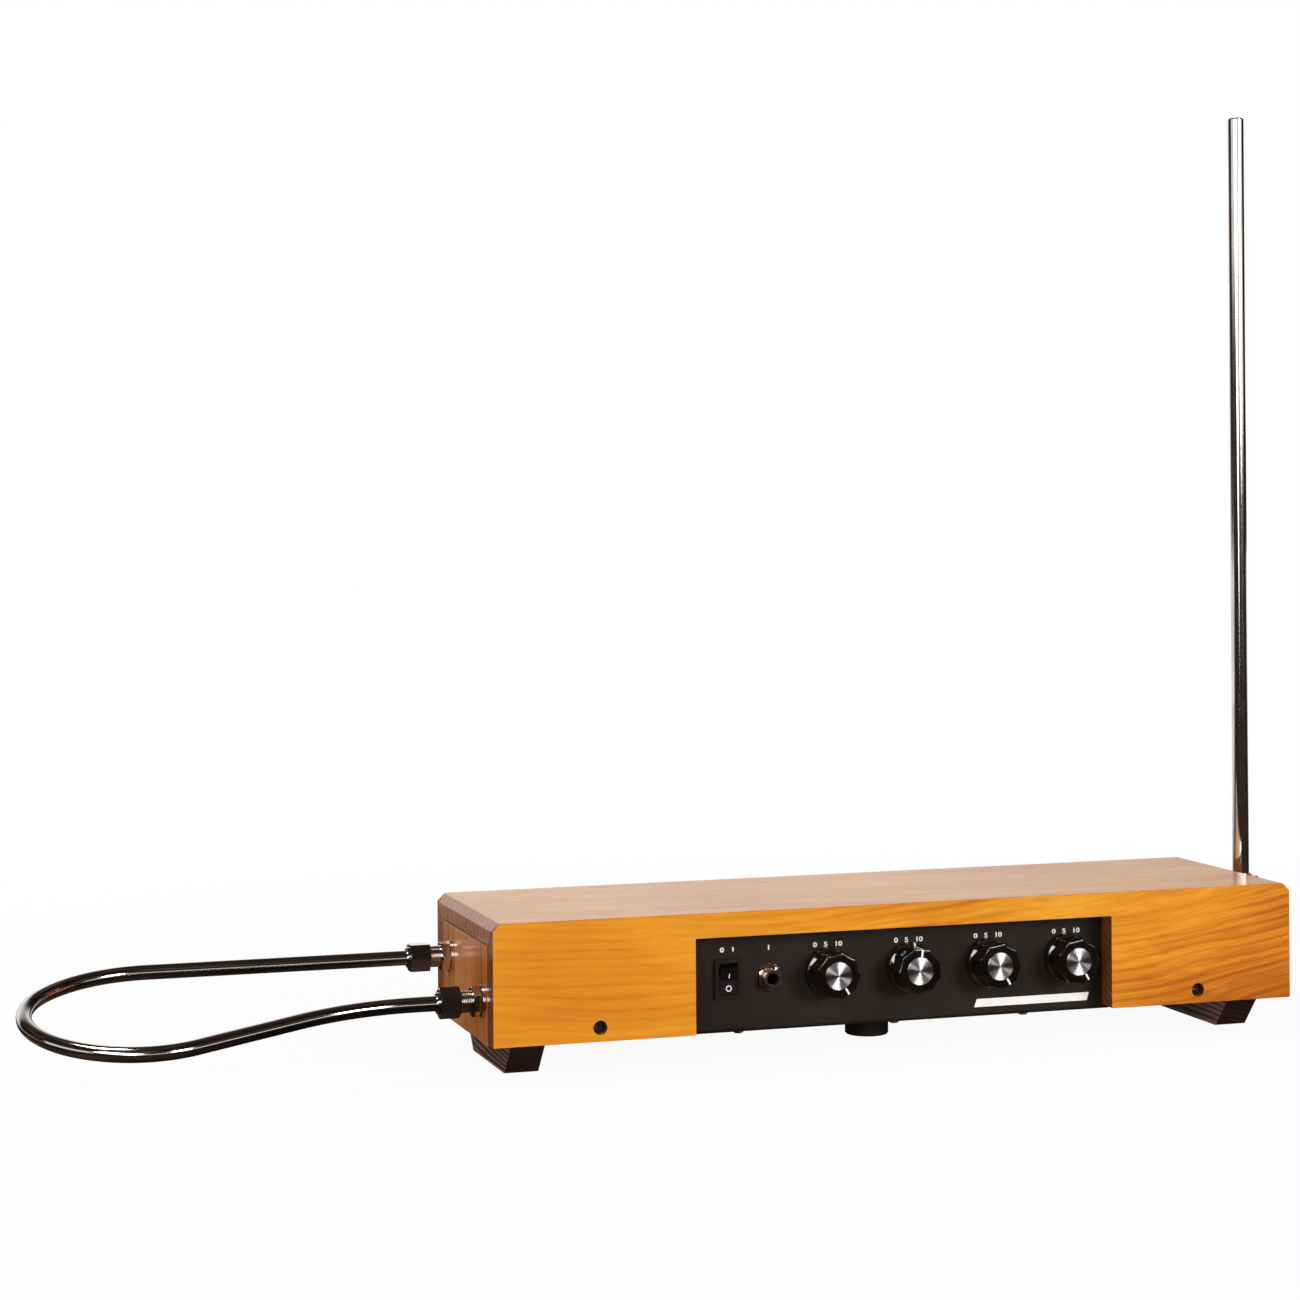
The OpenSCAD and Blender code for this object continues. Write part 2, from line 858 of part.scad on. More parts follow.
module waveform_inlay() inlay(2);

module brightness_inlay() inlay(3);

// ---------------------------------------------------------------- electronics

standoff_places = [for (x = [-board_hole_x, 0, board_hole_x],
    y = [board_front + board_hole_in, board_back - board_hole_in]) [x, y]];
chip = [10, 6.4, 3.2];
chip_x = [-88, -48, -20, 32, 72];
chip_y = [board_front + 14, board_front + 36];
can_w = 10;
can_h = 12;
can_x = [-68, -34, 52, 92];
capacitor_x = [for (i = [0:5]) -95 + i * 9];
capacitor_r = [3.9, 3.1];
capacitor_h = [12, 9];

module main_board() {
    color("#2f5a34")
        difference() {
            translate([-board_l / 2, board_front, board_z])
                cube([board_l, board_back - board_front, board_sheet]);
            for (p = standoff_places)
                translate([p[0], p[1], board_z - 1])
                    cylinder(r = board_screw_r + screw_gap, h = board_sheet + 2);
        }
}

module board_standoffs() {
    for (p = standoff_places)
        translate([p[0], p[1], base_top])
            color(nickel)
                difference() {
                    hex_bar(2 * standoff_r, standoff_h);
                    translate([0, 0, -1])
                        cylinder(r = board_screw_r + screw_gap, h = standoff_h + 2);
                }
}

module board_screws() {
    for (p = standoff_places)
        translate([p[0], p[1], board_z + board_sheet + 1.6])
            color(nickel) screw(board_screw_r, standoff_h + board_sheet + 1.6 + 5, 2.8, 1.6);
}

// Integrated circuits on the board, in two rows
module board_chips() {
    for (x = chip_x, y = chip_y)
        translate([x, y, board_z + board_sheet]) {
            color(black) translate([-chip[0] / 2, -chip[1] / 2, 0.5])
                cube(chip);
            color(nickel) translate([-chip[0] / 2 + 0.5, -chip[1] / 2 - 0.7, 0])
                cube([chip[0] - 1, chip[1] + 1.4, 1]);
        }
}

// Screened tuning coils, each with its slug sunk in the top
module tuning_coils() {
    for (x = can_x)
        translate([x, board_front + 25, board_z + board_sheet])
            color(nickel)
                difference() {
                    translate([-can_w / 2, -can_w / 2, 0])
                        cube([can_w, can_w, can_h]);
                    translate([0, 0, can_h - 1.5])
                        cylinder(r = can_w * 0.3, h = 3);
                }
}

// Upright capacitors along the board's back edge, tall and short by turns
module board_capacitors() {
    for (i = [0:len(capacitor_x) - 1])
        translate([capacitor_x[i], board_back - 13, board_z + board_sheet])
            color("#3a3f6b")
                cylinder(r = capacitor_r[i % 2], h = capacitor_h[i % 2]);
}

// Upright sheet brackets that hold the antennas' coils, one near each end
module coil_brackets() {
    for (x = [volume_coil_x, pitch_coil_x])
        translate([x, 0, base_top])
            color(nickel)
                difference() {
                    union() {
                        translate([-bracket_t / 2, -bracket_w / 2, 0])
                            cube([bracket_t, bracket_w, bracket_h]);
                        translate([x < 0 ? -bracket_t / 2 : bracket_t / 2 - bracket_foot,
                            -bracket_w / 2, 0])
                            cube([bracket_foot, bracket_w, bracket_t]);
                    }
                    for (i = [-1:1])
                        translate([-5, i * coil_pitch, coil_z - base_top])
                            rotate([0, 90, 0])
                                cylinder(r = coil_core_r + screw_gap, h = 10);
                }
}

// A row of pile-wound coils on a bracket, their axes along X
module coil_row(x, dir) {
    for (i = [-1:1])
        translate([x + dir * bracket_t / 2, i * coil_pitch, coil_z])
            rotate([0, dir * 90, 0]) {
                color("#d8d2c0") translate([0, 0, -bracket_t])
                    cylinder(r = coil_core_r, h = coil_l + bracket_t);
                color("#a5562a")
                    for (k = [0:2])
                        translate([0, 0, k * coil_l / 3])
                            pile_winding(coil_l / 3 - 1);
            }
}

// One bundle of wire wound on a coil's core
module pile_winding(h) {
    rotate_extrude()
        polygon([[coil_core_r - 0.1, 0], [coil_r - 1, 0], [coil_r, 1], [coil_r, h - 1],
            [coil_r - 1, h], [coil_core_r - 0.1, h]]);
}

module pitch_coils() coil_row(pitch_coil_x, -1);

module volume_coils() coil_row(volume_coil_x, 1);

// A wire through a few points
module wire(points) {
    for (k = [0:len(points) - 2]) {
        d = points[k + 1] - points[k];
        translate(points[k])
            rotate([0, acos(d[2] / norm(d)), atan2(d[1], d[0])])
                cylinder(r = wire_r, h = norm(d), $fn = 24);
        if (k > 0)
            translate(points[k])
                sphere(r = wire_r * 1.15, $fn = 24);
    }
}

// Leads from the fittings' ring tags to the coils, and to the power inlet
module antenna_leads() {
    lug_x = half_w - board_t - inner_washer_t / 2;
    for (p = [fit_back, fit_front])
        translate([-lug_x, p[1], p[2]])
            ring_lug();
    translate([lug_x, fit_pitch[1], fit_pitch[2]])
        ring_lug();
    color("#8a1f1f") {
        coil_lead(-lug_x, fit_back, volume_coil_x + lead_in);
        coil_lead(lug_x, fit_pitch, pitch_coil_x - lead_in);
    }
}

// A wire from a ring tag's tail, under the roof, down to the rearmost coil
module coil_lead(x, p, coil_x) {
    wire([[x, p[1], p[2] + washer_r + 1], [x - sign(x) * 6, p[1] - 2, roof_z - 3],
        [coil_x, 24, roof_z - 3], [coil_x, 21, coil_z + coil_r]]);
}

// A ring tag round a fitting's stem, with its tail upwards
module ring_lug() {
    color(brass)
        rotate([0, 90, 0])
            difference() {
                union() {
                    translate([0, 0, -inner_washer_t / 2])
                        cylinder(r = stem_r + 2, h = inner_washer_t);
                    translate([-washer_r - 3, -1.6, -inner_washer_t / 2])
                        cube([washer_r, 3.2, inner_washer_t]);
                }
                translate([0, 0, -1])
                    cylinder(r = stem_r + screw_gap, h = 2);
            }
}

// ---------------------------------------------------------------- power inlet

inlet_y = base_back - 6;

module inlet_bracket() {
    color(black)
        difference() {
            union() {
                translate([rear_window_x - inlet_plate_w / 2, inlet_y, base_top])
                    cube([inlet_plate_w, sheet_t, inlet_plate_h]);
                translate([rear_window_x - inlet_plate_w / 2, inlet_y - inlet_foot_d, base_top])
                    cube([inlet_plate_w, inlet_foot_d + sheet_t, sheet_t]);
            }
            translate([rear_window_x, inlet_y - 1, inlet_z])
                rotate([-90, 0, 0])
                    cylinder(r = inlet_r + 0.1, h = sheet_t + 2);
        }
}

// Round panel socket for the power lead, with its pin and its fixing ring
module power_inlet() {
    translate([rear_window_x, inlet_y + sheet_t, inlet_z])
        rotate([-90, 0, 0]) {
            color(black)
                difference() {
                    union() {
                        translate([0, 0, -sheet_t - inlet_depth])
                            cylinder(r = inlet_r, h = sheet_t + inlet_depth + inlet_proud);
                        cylinder(r = inlet_r + 2, h = inlet_ring_t);
                        translate([0, 0, -sheet_t - inlet_nut_t])
                            turned_hex(2 * inlet_r + 4, inlet_nut_t, 0.4);
                    }
                    translate([0, 0, -sheet_t - inlet_bore_l])
                        cylinder(r = inlet_bore_r, h = sheet_t + inlet_bore_l + inlet_proud + 1);
                }
            color(nickel) translate([0, 0, -sheet_t - inlet_bore_l - eps])
                cylinder(r = inlet_pin_r, h = inlet_bore_l + 2);
        }
}

// ---------------------------------------------------------------- stand flange

flange_screw_angles = [45, 135, 225, 315];
flange_screw_l = 11;

module stand_flange() {
    color(black)
        difference() {
            union() {
                translate([0, 0, base_z - flange_t])
                    cylinder(r = flange_r, h = flange_t);
                rotate_extrude()
                    polygon([[0, 0], [socket_r_out - 0.8, 0], [socket_r_out, 0.8],
                        [socket_r_out, base_z - flange_t - 2],
                        [socket_r_out + 2, base_z - flange_t + eps], [0, base_z - flange_t + eps]]);
            }
            translate([0, 0, -1])
                cylinder(r = socket_r, h = socket_l + 1);
            for (a = flange_screw_angles)
                translate([flange_holes_r * cos(a), flange_holes_r * sin(a), 0])
                    cylinder(r = flange_screw_r + screw_gap, h = base_z + 1);
        }
}

module flange_screws() {
    for (a = flange_screw_angles)
        translate([flange_holes_r * cos(a), flange_holes_r * sin(a), base_z - flange_t - 2])
            rotate([180, 0, 0])
                color(nickel) screw(flange_screw_r, flange_screw_l + 2, 3.8, 2);
}

// ---------------------------------------------------------------- fittings

// A straight bulkhead fitting along +Z, z = 0 at the cabinet's end face
module straight_fitting() {
    color(nickel)
        difference() {
            union() {
                translate([0, 0, -board_t - stem_in])
                    cylinder(r = stem_r, h = board_t + stem_in + washer_t + eps);
                translate([0, 0, washer_t])
                    turned_hex(loop_flats, collar_l);
                translate([0, 0, washer_t + collar_l - eps])
                    cylinder(r = neck_r, h = neck_end - washer_t - collar_l);
            }
            translate([0, 0, tube_stop])
                cylinder(r = loop_tube_r + tube_gap, h = neck_end);
            translate([0, 0, -board_t - stem_in - 1])
                cylinder(r = loop_tube_r - tube_wall, h = board_t + stem_in + tube_stop + 2);
        }
}

module loop_back_fitting() {
    at_left(fit_back)
        straight_fitting();
}

module loop_front_fitting() {
    at_left(fit_front)
        rotate([0, 0, front_fitting_turn])
            straight_fitting();
}

// A compression nut along +Z from its open end, with a cone-shaped nose
module compression_nut(flats, tube, neck) {
    color(nickel)
        difference() {
            union() {
                turned_hex(flats, nut_l);
                translate([0, 0, nut_l - eps])
                    cylinder(r1 = tube + 1.9, r2 = tube + 1.2, h = nose_l);
            }
            translate([0, 0, -1])
                cylinder(r = neck + thread_gap, h = nut_thread_l + 1);
            translate([0, 0, nut_thread_l - eps])
                cylinder(r1 = neck + thread_gap, r2 = tube + tube_gap, h = nut_cone_l);
            cylinder(r = tube + tube_gap, h = nut_l + nose_l + 1);
        }
}

module loop_back_nut() {
    at_left(fit_back)
        translate([0, 0, fitting_l - nut_l])
            compression_nut(loop_flats, loop_tube_r, neck_r);
}

module loop_front_nut() {
    at_left(fit_front)
        translate([0, 0, fitting_l - nut_l])
            rotate([0, 0, front_fitting_turn])
                compression_nut(loop_flats, loop_tube_r, neck_r);
}

// A ferrule on a tube, between the neck's end and the nut's cone
module ferrule(tube, neck) {
    color(brass)
        rotate_extrude()
            polygon([[tube + 0.03, 0.2], [neck - 0.6, 0.2], [neck - 0.4, 0.8], [tube + 0.45,
                ferrule_l - 0.6], [tube + 0.03, ferrule_l - 0.6]]);
}

module loop_ferrules() {
    for (p = [fit_back, fit_front])
        at_left(p)
            translate([0, 0, neck_end])
                ferrule(loop_tube_r, neck_r);
}

// The right-angle fitting on the right end: its stem goes through the end panel and
// its neck points up
module pitch_elbow() {
    color(nickel)
        translate(fit_pitch)
            difference() {
                union() {
                    rotate([0, 90, 0]) {
                        translate([0, 0, -board_t - stem_in])
                            cylinder(r = stem_r, h = board_t + stem_in + washer_t + eps);
                        translate([0, 0, washer_t])
                            turned_hex(pitch_flats, collar_l);
                        translate([0, 0, washer_t + collar_l - eps])
                            cylinder(r = elbow_r, h = rod_x - washer_t - collar_l);
                    }
                    translate([rod_x, 0, 0]) {
                        rotate([0, 45, 0])
                            sphere(r = elbow_ball_r);
                        cylinder(r = elbow_barrel_r, h = nut_l - 1.5);
                        cylinder(r = pitch_neck_r, h = elbow_neck_end);
                    }
                }
                translate([rod_x, 0, rod_seat])
                    cylinder(r = rod_r + tube_gap, h = elbow_neck_end);
                rotate([0, 90, 0])
                    translate([0, 0, -board_t - stem_in - 1])
                        cylinder(r = elbow_bore_r, h = board_t + stem_in + rod_x + 1);
                translate([rod_x, 0, -elbow_bore_r - 1])
                    cylinder(r = elbow_bore_r + 0.4, h = elbow_bore_r + rod_seat + 2);
            }
}

module pitch_nut() {
    translate(fit_pitch + [rod_x, 0, nut_l])
        compression_nut(pitch_flats, rod_r, pitch_neck_r);
}

module pitch_ferrule() {
    translate(fit_pitch + [rod_x, 0, elbow_neck_end])
        ferrule(rod_r, pitch_neck_r);
}

// Lock washers between the collars and the cabinet's ends
module fitting_washers() {
    for (p = [fit_back, fit_front])
        at_left(p)
            lock_washer(washer_r);
    translate(fit_pitch)
        rotate([0, 90, 0])
            lock_washer(washer_r + 0.8);
}

module lock_washer(r) {
    color(nickel)
        difference() {
            cylinder(r = r, h = washer_t);
            translate([0, 0, -1])
                cylinder(r = stem_r + screw_gap, h = washer_t + 2);
        }
}

// Nuts on the stems, inside the end panels
module fitting_inner_nuts() {
    for (p = [fit_back, fit_front])
        translate(p + [board_t + inner_washer_t, 0, 0])
            inner_nut();
    translate(fit_pitch - [board_t + inner_washer_t + inner_nut_t, 0, 0])
        inner_nut();
}

module inner_nut() {
    color(nickel)
        rotate([0, 90, 0])
            difference() {
                hex_bar(inner_nut_flats, inner_nut_t);
                translate([0, 0, -1])
                    cylinder(r = stem_r + screw_gap, h = inner_nut_t + 2);
            }
}

// ---------------------------------------------------------------- antennas

// A straight stretch of the loop from a point, towards a heading
module loop_straight(p, heading, length, tube) {
    translate([p[0], p[1], 0])
        rotate([0, 0, heading])
            rotate([0, 90, 0])
                cylinder(r = tube, h = length);
}

// A bend of the loop about a centre, from one angle over a sweep
module loop_bend(c, r, from, sweep, tube) {
    translate([c[0], c[1], 0])
        rotate([0, 0, from])
            rotate_extrude(angle = sweep)
                translate([r, 0])
                    circle(r = tube);
}

// A hair-high band over the seam between two stretches of the loop
module loop_seam(p, heading, tube) {
    translate([p[0], p[1], 0])
        rotate([0, 0, heading])
            rotate([0, 90, 0])
                translate([0, 0, -seam_l / 2])
                    cylinder(r = tube + seam_rise, h = seam_l);
}

// The loop's whole path as a round bar of the given radius
module loop_bar(tube, start) {
    loop_straight([start, 0], 0, back_leg_l - start, tube);
    loop_seam(loop_p1, 0, tube);
    loop_bend(loop_c1, bend_r_far, -90, bend_far_angle, tube);
    loop_seam(loop_p2, bend_far_angle, tube);
    loop_bend(loop_c2, bend_r_near, bend_far_angle - 90,
        180 - bend_far_angle + return_angle, tube);
    loop_seam(loop_p3, 180 + return_angle, tube);
    loop_straight(loop_p3, 180 + return_angle, slant_l, tube);
    loop_seam(loop_p4, 180 + return_angle, tube);
    loop_bend(loop_c3, return_r, -90, return_angle, tube);
    loop_seam(loop_p5, 0, tube);
    loop_straight([start, leg_spacing], 0, loop_p5[0] - start, tube);
}

module volume_loop() {
    start = tube_stop + 0.3;
    color(nickel)
        translate(fit_back)
            rotate([loop_tilt, 0, 0])
                rotate([0, 0, 180])
                    difference() {
                        loop_bar(loop_tube_r, start);
                        loop_bar(loop_tube_r - tube_wall, start - 1);
                    }
}

module pitch_antenna() {
    color(nickel)
        translate(fit_pitch + [rod_x, 0, rod_seat + 0.05])
            difference() {
                union() {
                    cylinder(r = rod_r, h = rod_l - 0.8);
                    translate([0, 0, rod_l - 0.8 - eps])
                        cylinder(r1 = rod_r, r2 = rod_r - 0.8, h = 0.8);
                }
                translate([0, 0, -1])
                    cylinder(r = rod_r - tube_wall, h = rod_l - 2);
            }
}

// ---------------------------------------------------------------- assembly

top_board();
front_board();
back_board();
left_end_panel();
right_end_panel();
base_board();
left_foot();
right_foot();
cover_screws();
foot_screws();
control_panel();
panel_screws();
switch_housing();
output_jack();
output_jack_nut();
volume_pot();
pitch_pot();
waveform_pot();
brightness_pot();
pot_nuts();
main_board();
board_standoffs();
board_screws();
board_chips();
tuning_coils();
board_capacitors();
pitch_coils();
volume_coils();
coil_brackets();
antenna_leads();
stand_flange();
flange_screws();
loop_back_fitting();
loop_front_fitting();
pitch_elbow();
fitting_washers();
fitting_inner_nuts();
inlet_bracket();
power_inlet();
volume_loop();
loop_ferrules();
loop_back_nut();
loop_front_nut();
pitch_antenna();
pitch_ferrule();
pitch_nut();
power_rocker();
volume_knob();
pitch_knob();
waveform_knob();
brightness_knob();
volume_inlay();
pitch_inlay();
waveform_inlay();
brightness_inlay();
volume_shaft();
pitch_shaft();
waveform_shaft();
brightness_shaft();
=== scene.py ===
"""Looks of a theremin in a wooden cabinet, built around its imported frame.

The frame gives every rigid piece its place. This script gives each one its surface, and
makes anew what needs finer form than the frame holds: the bent loop, the knobs and their
paint, the panel's print, the threads of the fittings and the softened edges of the
woodwork.
"""

from __future__ import annotations

import logging
import math
from collections.abc import Sequence
from dataclasses import dataclass, field
from enum import Enum
from typing import Any

import bmesh
import bpy
from bmesh.types import BMEdge, BMesh, BMVert
from bpy.types import Material, Node, NodeSocket, NodeTree, Object
from mathutils import Matrix, Vector

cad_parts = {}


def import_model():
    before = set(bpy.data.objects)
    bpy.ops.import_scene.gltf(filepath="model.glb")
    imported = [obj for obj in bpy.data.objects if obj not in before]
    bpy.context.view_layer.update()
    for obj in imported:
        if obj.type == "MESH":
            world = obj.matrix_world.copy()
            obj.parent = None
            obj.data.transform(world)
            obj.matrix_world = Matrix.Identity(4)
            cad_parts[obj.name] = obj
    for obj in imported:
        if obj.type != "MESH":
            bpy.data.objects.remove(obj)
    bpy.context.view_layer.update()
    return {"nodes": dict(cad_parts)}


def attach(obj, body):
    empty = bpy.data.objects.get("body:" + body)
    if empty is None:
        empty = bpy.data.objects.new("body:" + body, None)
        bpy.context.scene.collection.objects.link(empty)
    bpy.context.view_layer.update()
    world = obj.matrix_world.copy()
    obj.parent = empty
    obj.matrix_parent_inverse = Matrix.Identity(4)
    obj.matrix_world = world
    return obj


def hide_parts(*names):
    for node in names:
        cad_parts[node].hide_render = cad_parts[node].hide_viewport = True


log = logging.getLogger("theremin")

MM = 0.001
WHITE = (1.0, 1.0, 1.0, 1.0)
CORNER_DEG = 40  # a board's edge sharper than this may be softened
WAVE_RING = 2 * math.pi / 20  # Blender's wave texture: width of one band at scale 1
# Long grain in layers: how many to a metre across, octaves, roughness and weight.
# Fibres are 0.9 mm wide and 35 mm long, bundles 2.5 mm by 90 mm, streaks 7 mm by 250 mm
LONG_GRAIN = ((1100, 3, 0.6, 0.27), (400, 2, 0.5, 0.12), (140, 2, 0.5, 0.24))
GRAIN_STRETCH = 0.026
# The figure grows along a board between these, and its far lower corner is darker
FIGURE_ALONG = (-0.14, 0.2)
CORNER_ALONG = (0.1, 0.23)
CORNER_UP = (0.056, 0.012)
# Where metal sees a white wall: axis of the direction, nothing at, full at
WHITE_WALLS = (
    (("Y", 0.78, 0.93),),
    (("X", -0.22, -0.14), ("X", 0.92, 0.84), ("Z", 0.01, 0.03), ("Z", 0.17, 0.13)),
    (("X", -0.68, -0.76), ("Y", 0.2, 0.1), ("Z", 0.06, 0.075), ("Z", 0.4, 0.3)),
)


class Grain(Enum):
    """The way the fibres of a board run, and the turn that lays them along X."""

    ALONG_X = (0.0, 0.0, 0.0)
    ALONG_Y = (0.0, 0.0, -math.pi / 2)
    ALONG_Z = (0.0, math.pi / 2, 0.0)


# ------------------------------------------------------------------ small helpers


def linear(hex_colour: str) -> tuple[float, float, float, float]:
    """Turn an sRGB hex colour into Blender's linear one.

    Args:
        hex_colour: The colour, such as "#e2902a".

    Returns:
        Red, green, blue and an alpha of 1, linear.
    """
    channels = [int(hex_colour[i : i + 2], 16) / 255 for i in (1, 3, 5)]
    turned = [c / 12.92 if c <= 0.04045 else ((c + 0.055) / 1.055) ** 2.4 for c in channels]
    return (turned[0], turned[1], turned[2], 1.0)


def add(
    tree: NodeTree,
    kind: str,
    links: dict[Any, Any] | None = None,
    stops: list[tuple[float, str]] | None = None,
    **settings: Any,
) -> Node:
    """Add a node to a tree, with its settings and links.

    Args:
        tree: The tree that takes the node.
        kind: Blender's name for the kind of node, without "ShaderNode".
        links: For each input's name or number, a value to set, a socket to link, or a
            node to link by its first output.
        stops: A colour ramp's places and sRGB hex colours.
        **settings: Values for the node's own properties.

    Returns:
        The new node.
    """
    node = tree.nodes.new("ShaderNode" + kind)
    for key, value in settings.items():
        setattr(node, key, value)
    if stops:
        ramp = node.color_ramp
        while len(ramp.elements) < len(stops):
            ramp.elements.new(1.0)
        for element, (place, colour) in zip(ramp.elements, stops):
            element.position = place
            element.color = linear(colour)
    for key, value in (links or {}).items():
        if isinstance(value, Node):
            value = value.outputs[0]
        if isinstance(value, NodeSocket):
            tree.links.new(value, node.inputs[key])
        else:
            node.inputs[key].default_value = value
    return node


def start_material(name: str) -> tuple[Material, NodeTree, NodeSocket]:
    """Begin a material with an empty tree.

    Args:
        name: The material's name.

    Returns:
        The material, its tree and the socket that gives each point's place.
    """
    material = bpy.data.materials.new(name)
    material.use_nodes = True
    tree = material.node_tree
    tree.nodes.clear()
    return material, tree, add(tree, "TexCoord").outputs["Object"]


def end_material(tree: NodeTree, inputs: dict[str, Any]) -> None:
    """End a material's tree with a Principled shader that has these inputs."""
    shader = add(tree, "BsdfPrincipled", inputs)
    add(tree, "OutputMaterial", {"Surface": shader})


def dress(obj: Object, material: Material) -> None:
    """Give an object one material all over."""
    obj.data.materials.clear()
    obj.data.materials.append(material)


def only(geom: list[Any], kind: type) -> list[Any]:
    """Pick the elements of one kind out of a mesh operator's result."""
    return [item for item in geom if isinstance(item, kind)]


def finish_mesh(bm: BMesh, name: str, body: str, smooth_deg: float = 35) -> Object:
    """Make an object of a finished bmesh and let it ride on a body.

    Args:
        bm: The mesh, in metres and in its place. It is freed.
        name: The piece's name.
        body: The body that carries it.
        smooth_deg: Edges sharper than this stay sharp.

    Returns:
        The object.
    """
    mesh = bpy.data.meshes.new(name)
    for face in bm.faces:
        face.smooth = True
    for edge in bm.edges:
        edge.smooth = edge.is_manifold and edge.calc_face_angle(0) < math.radians(smooth_deg)
    bm.to_mesh(mesh)
    bm.free()
    obj = bpy.data.objects.new(name, mesh)
    bpy.context.scene.collection.objects.link(obj)
    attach(obj, body)
    return obj


def copy_of(
    node: str, name: str, body: str, smooth_deg: float = 35, soften_mm: float | None = None
) -> Object:
    """Copy a node of the frame as one smooth, closed mesh that stands for it.

    Args:
        node: The frame's node.
        name: The new piece's name.
        body: The body that carries it.
        smooth_deg: Edges sharper than this stay sharp.
        soften_mm: Weigh for a bevel the corners at least this long, and no others.

    Returns:
        The copy, which replaces the node.
    """
    bm = bmesh.new()
    bm.from_mesh(frame["nodes"][node].data)
    bmesh.ops.remove_doubles(bm, verts=bm.verts, dist=0.002 * MM)
    if soften_mm is not None:
        weight = bm.edges.layers.float.new("bevel_weight_edge")
        for edge in bm.edges:
            corner = edge.calc_face_angle(0) > math.radians(CORNER_DEG)
            edge[weight] = float(corner and edge.calc_length() > soften_mm * MM)
    obj = finish_mesh(bm, name, body, smooth_deg)
    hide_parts(node)
    return obj


def soften(obj: Object, width: float, by: str, angle_deg: float = 30) -> None:
    """Round an object's corners a little, with its flat faces kept flat.

    Args:
        obj: The object.
        width: How far the rounding reaches.
        by: "WEIGHT" for weighed corners, "ANGLE" for all sharper ones.
        angle_deg: With "ANGLE", the least corner that is rounded.
    """
    bevel = obj.modifiers.new("softened_edges", "BEVEL")
    bevel.width = width
    bevel.segments = 2
    bevel.limit_method = by
    bevel.angle_limit = math.radians(angle_deg)
    bevel.harden_normals = True


def turned(outline: Sequence[tuple[float, float]], place: Matrix, steps: int = 64) -> BMesh:
    """Spin an outline round an axis.

    Args:
        outline: Pairs of radius and height in mm, from the bottom up.
        place: Turns the spun shape from +Z to its place.
        steps: How many faces go round.

    Returns:
        The spun mesh, with its faces outwards.
    """
    bm = bmesh.new()
    verts = [bm.verts.new((r * MM, 0, z * MM)) for r, z in outline]
    edges = [bm.edges.new(pair) for pair in zip(verts, verts[1:])]
    bmesh.ops.spin(
        bm,
        geom=verts + edges,
        cent=(0, 0, 0),
        axis=(0, 0, 1),
        dvec=(0, 0, 0),
        angle=2 * math.pi,
        steps=steps,
        use_merge=True,
        use_duplicate=False,
    )
    bmesh.ops.remove_doubles(bm, verts=bm.verts, dist=0.001 * MM)
    bmesh.ops.recalc_face_normals(bm, faces=bm.faces)
    bmesh.ops.transform(bm, matrix=place, verts=bm.verts)
    return bm


# ------------------------------------------------------------------ finishes


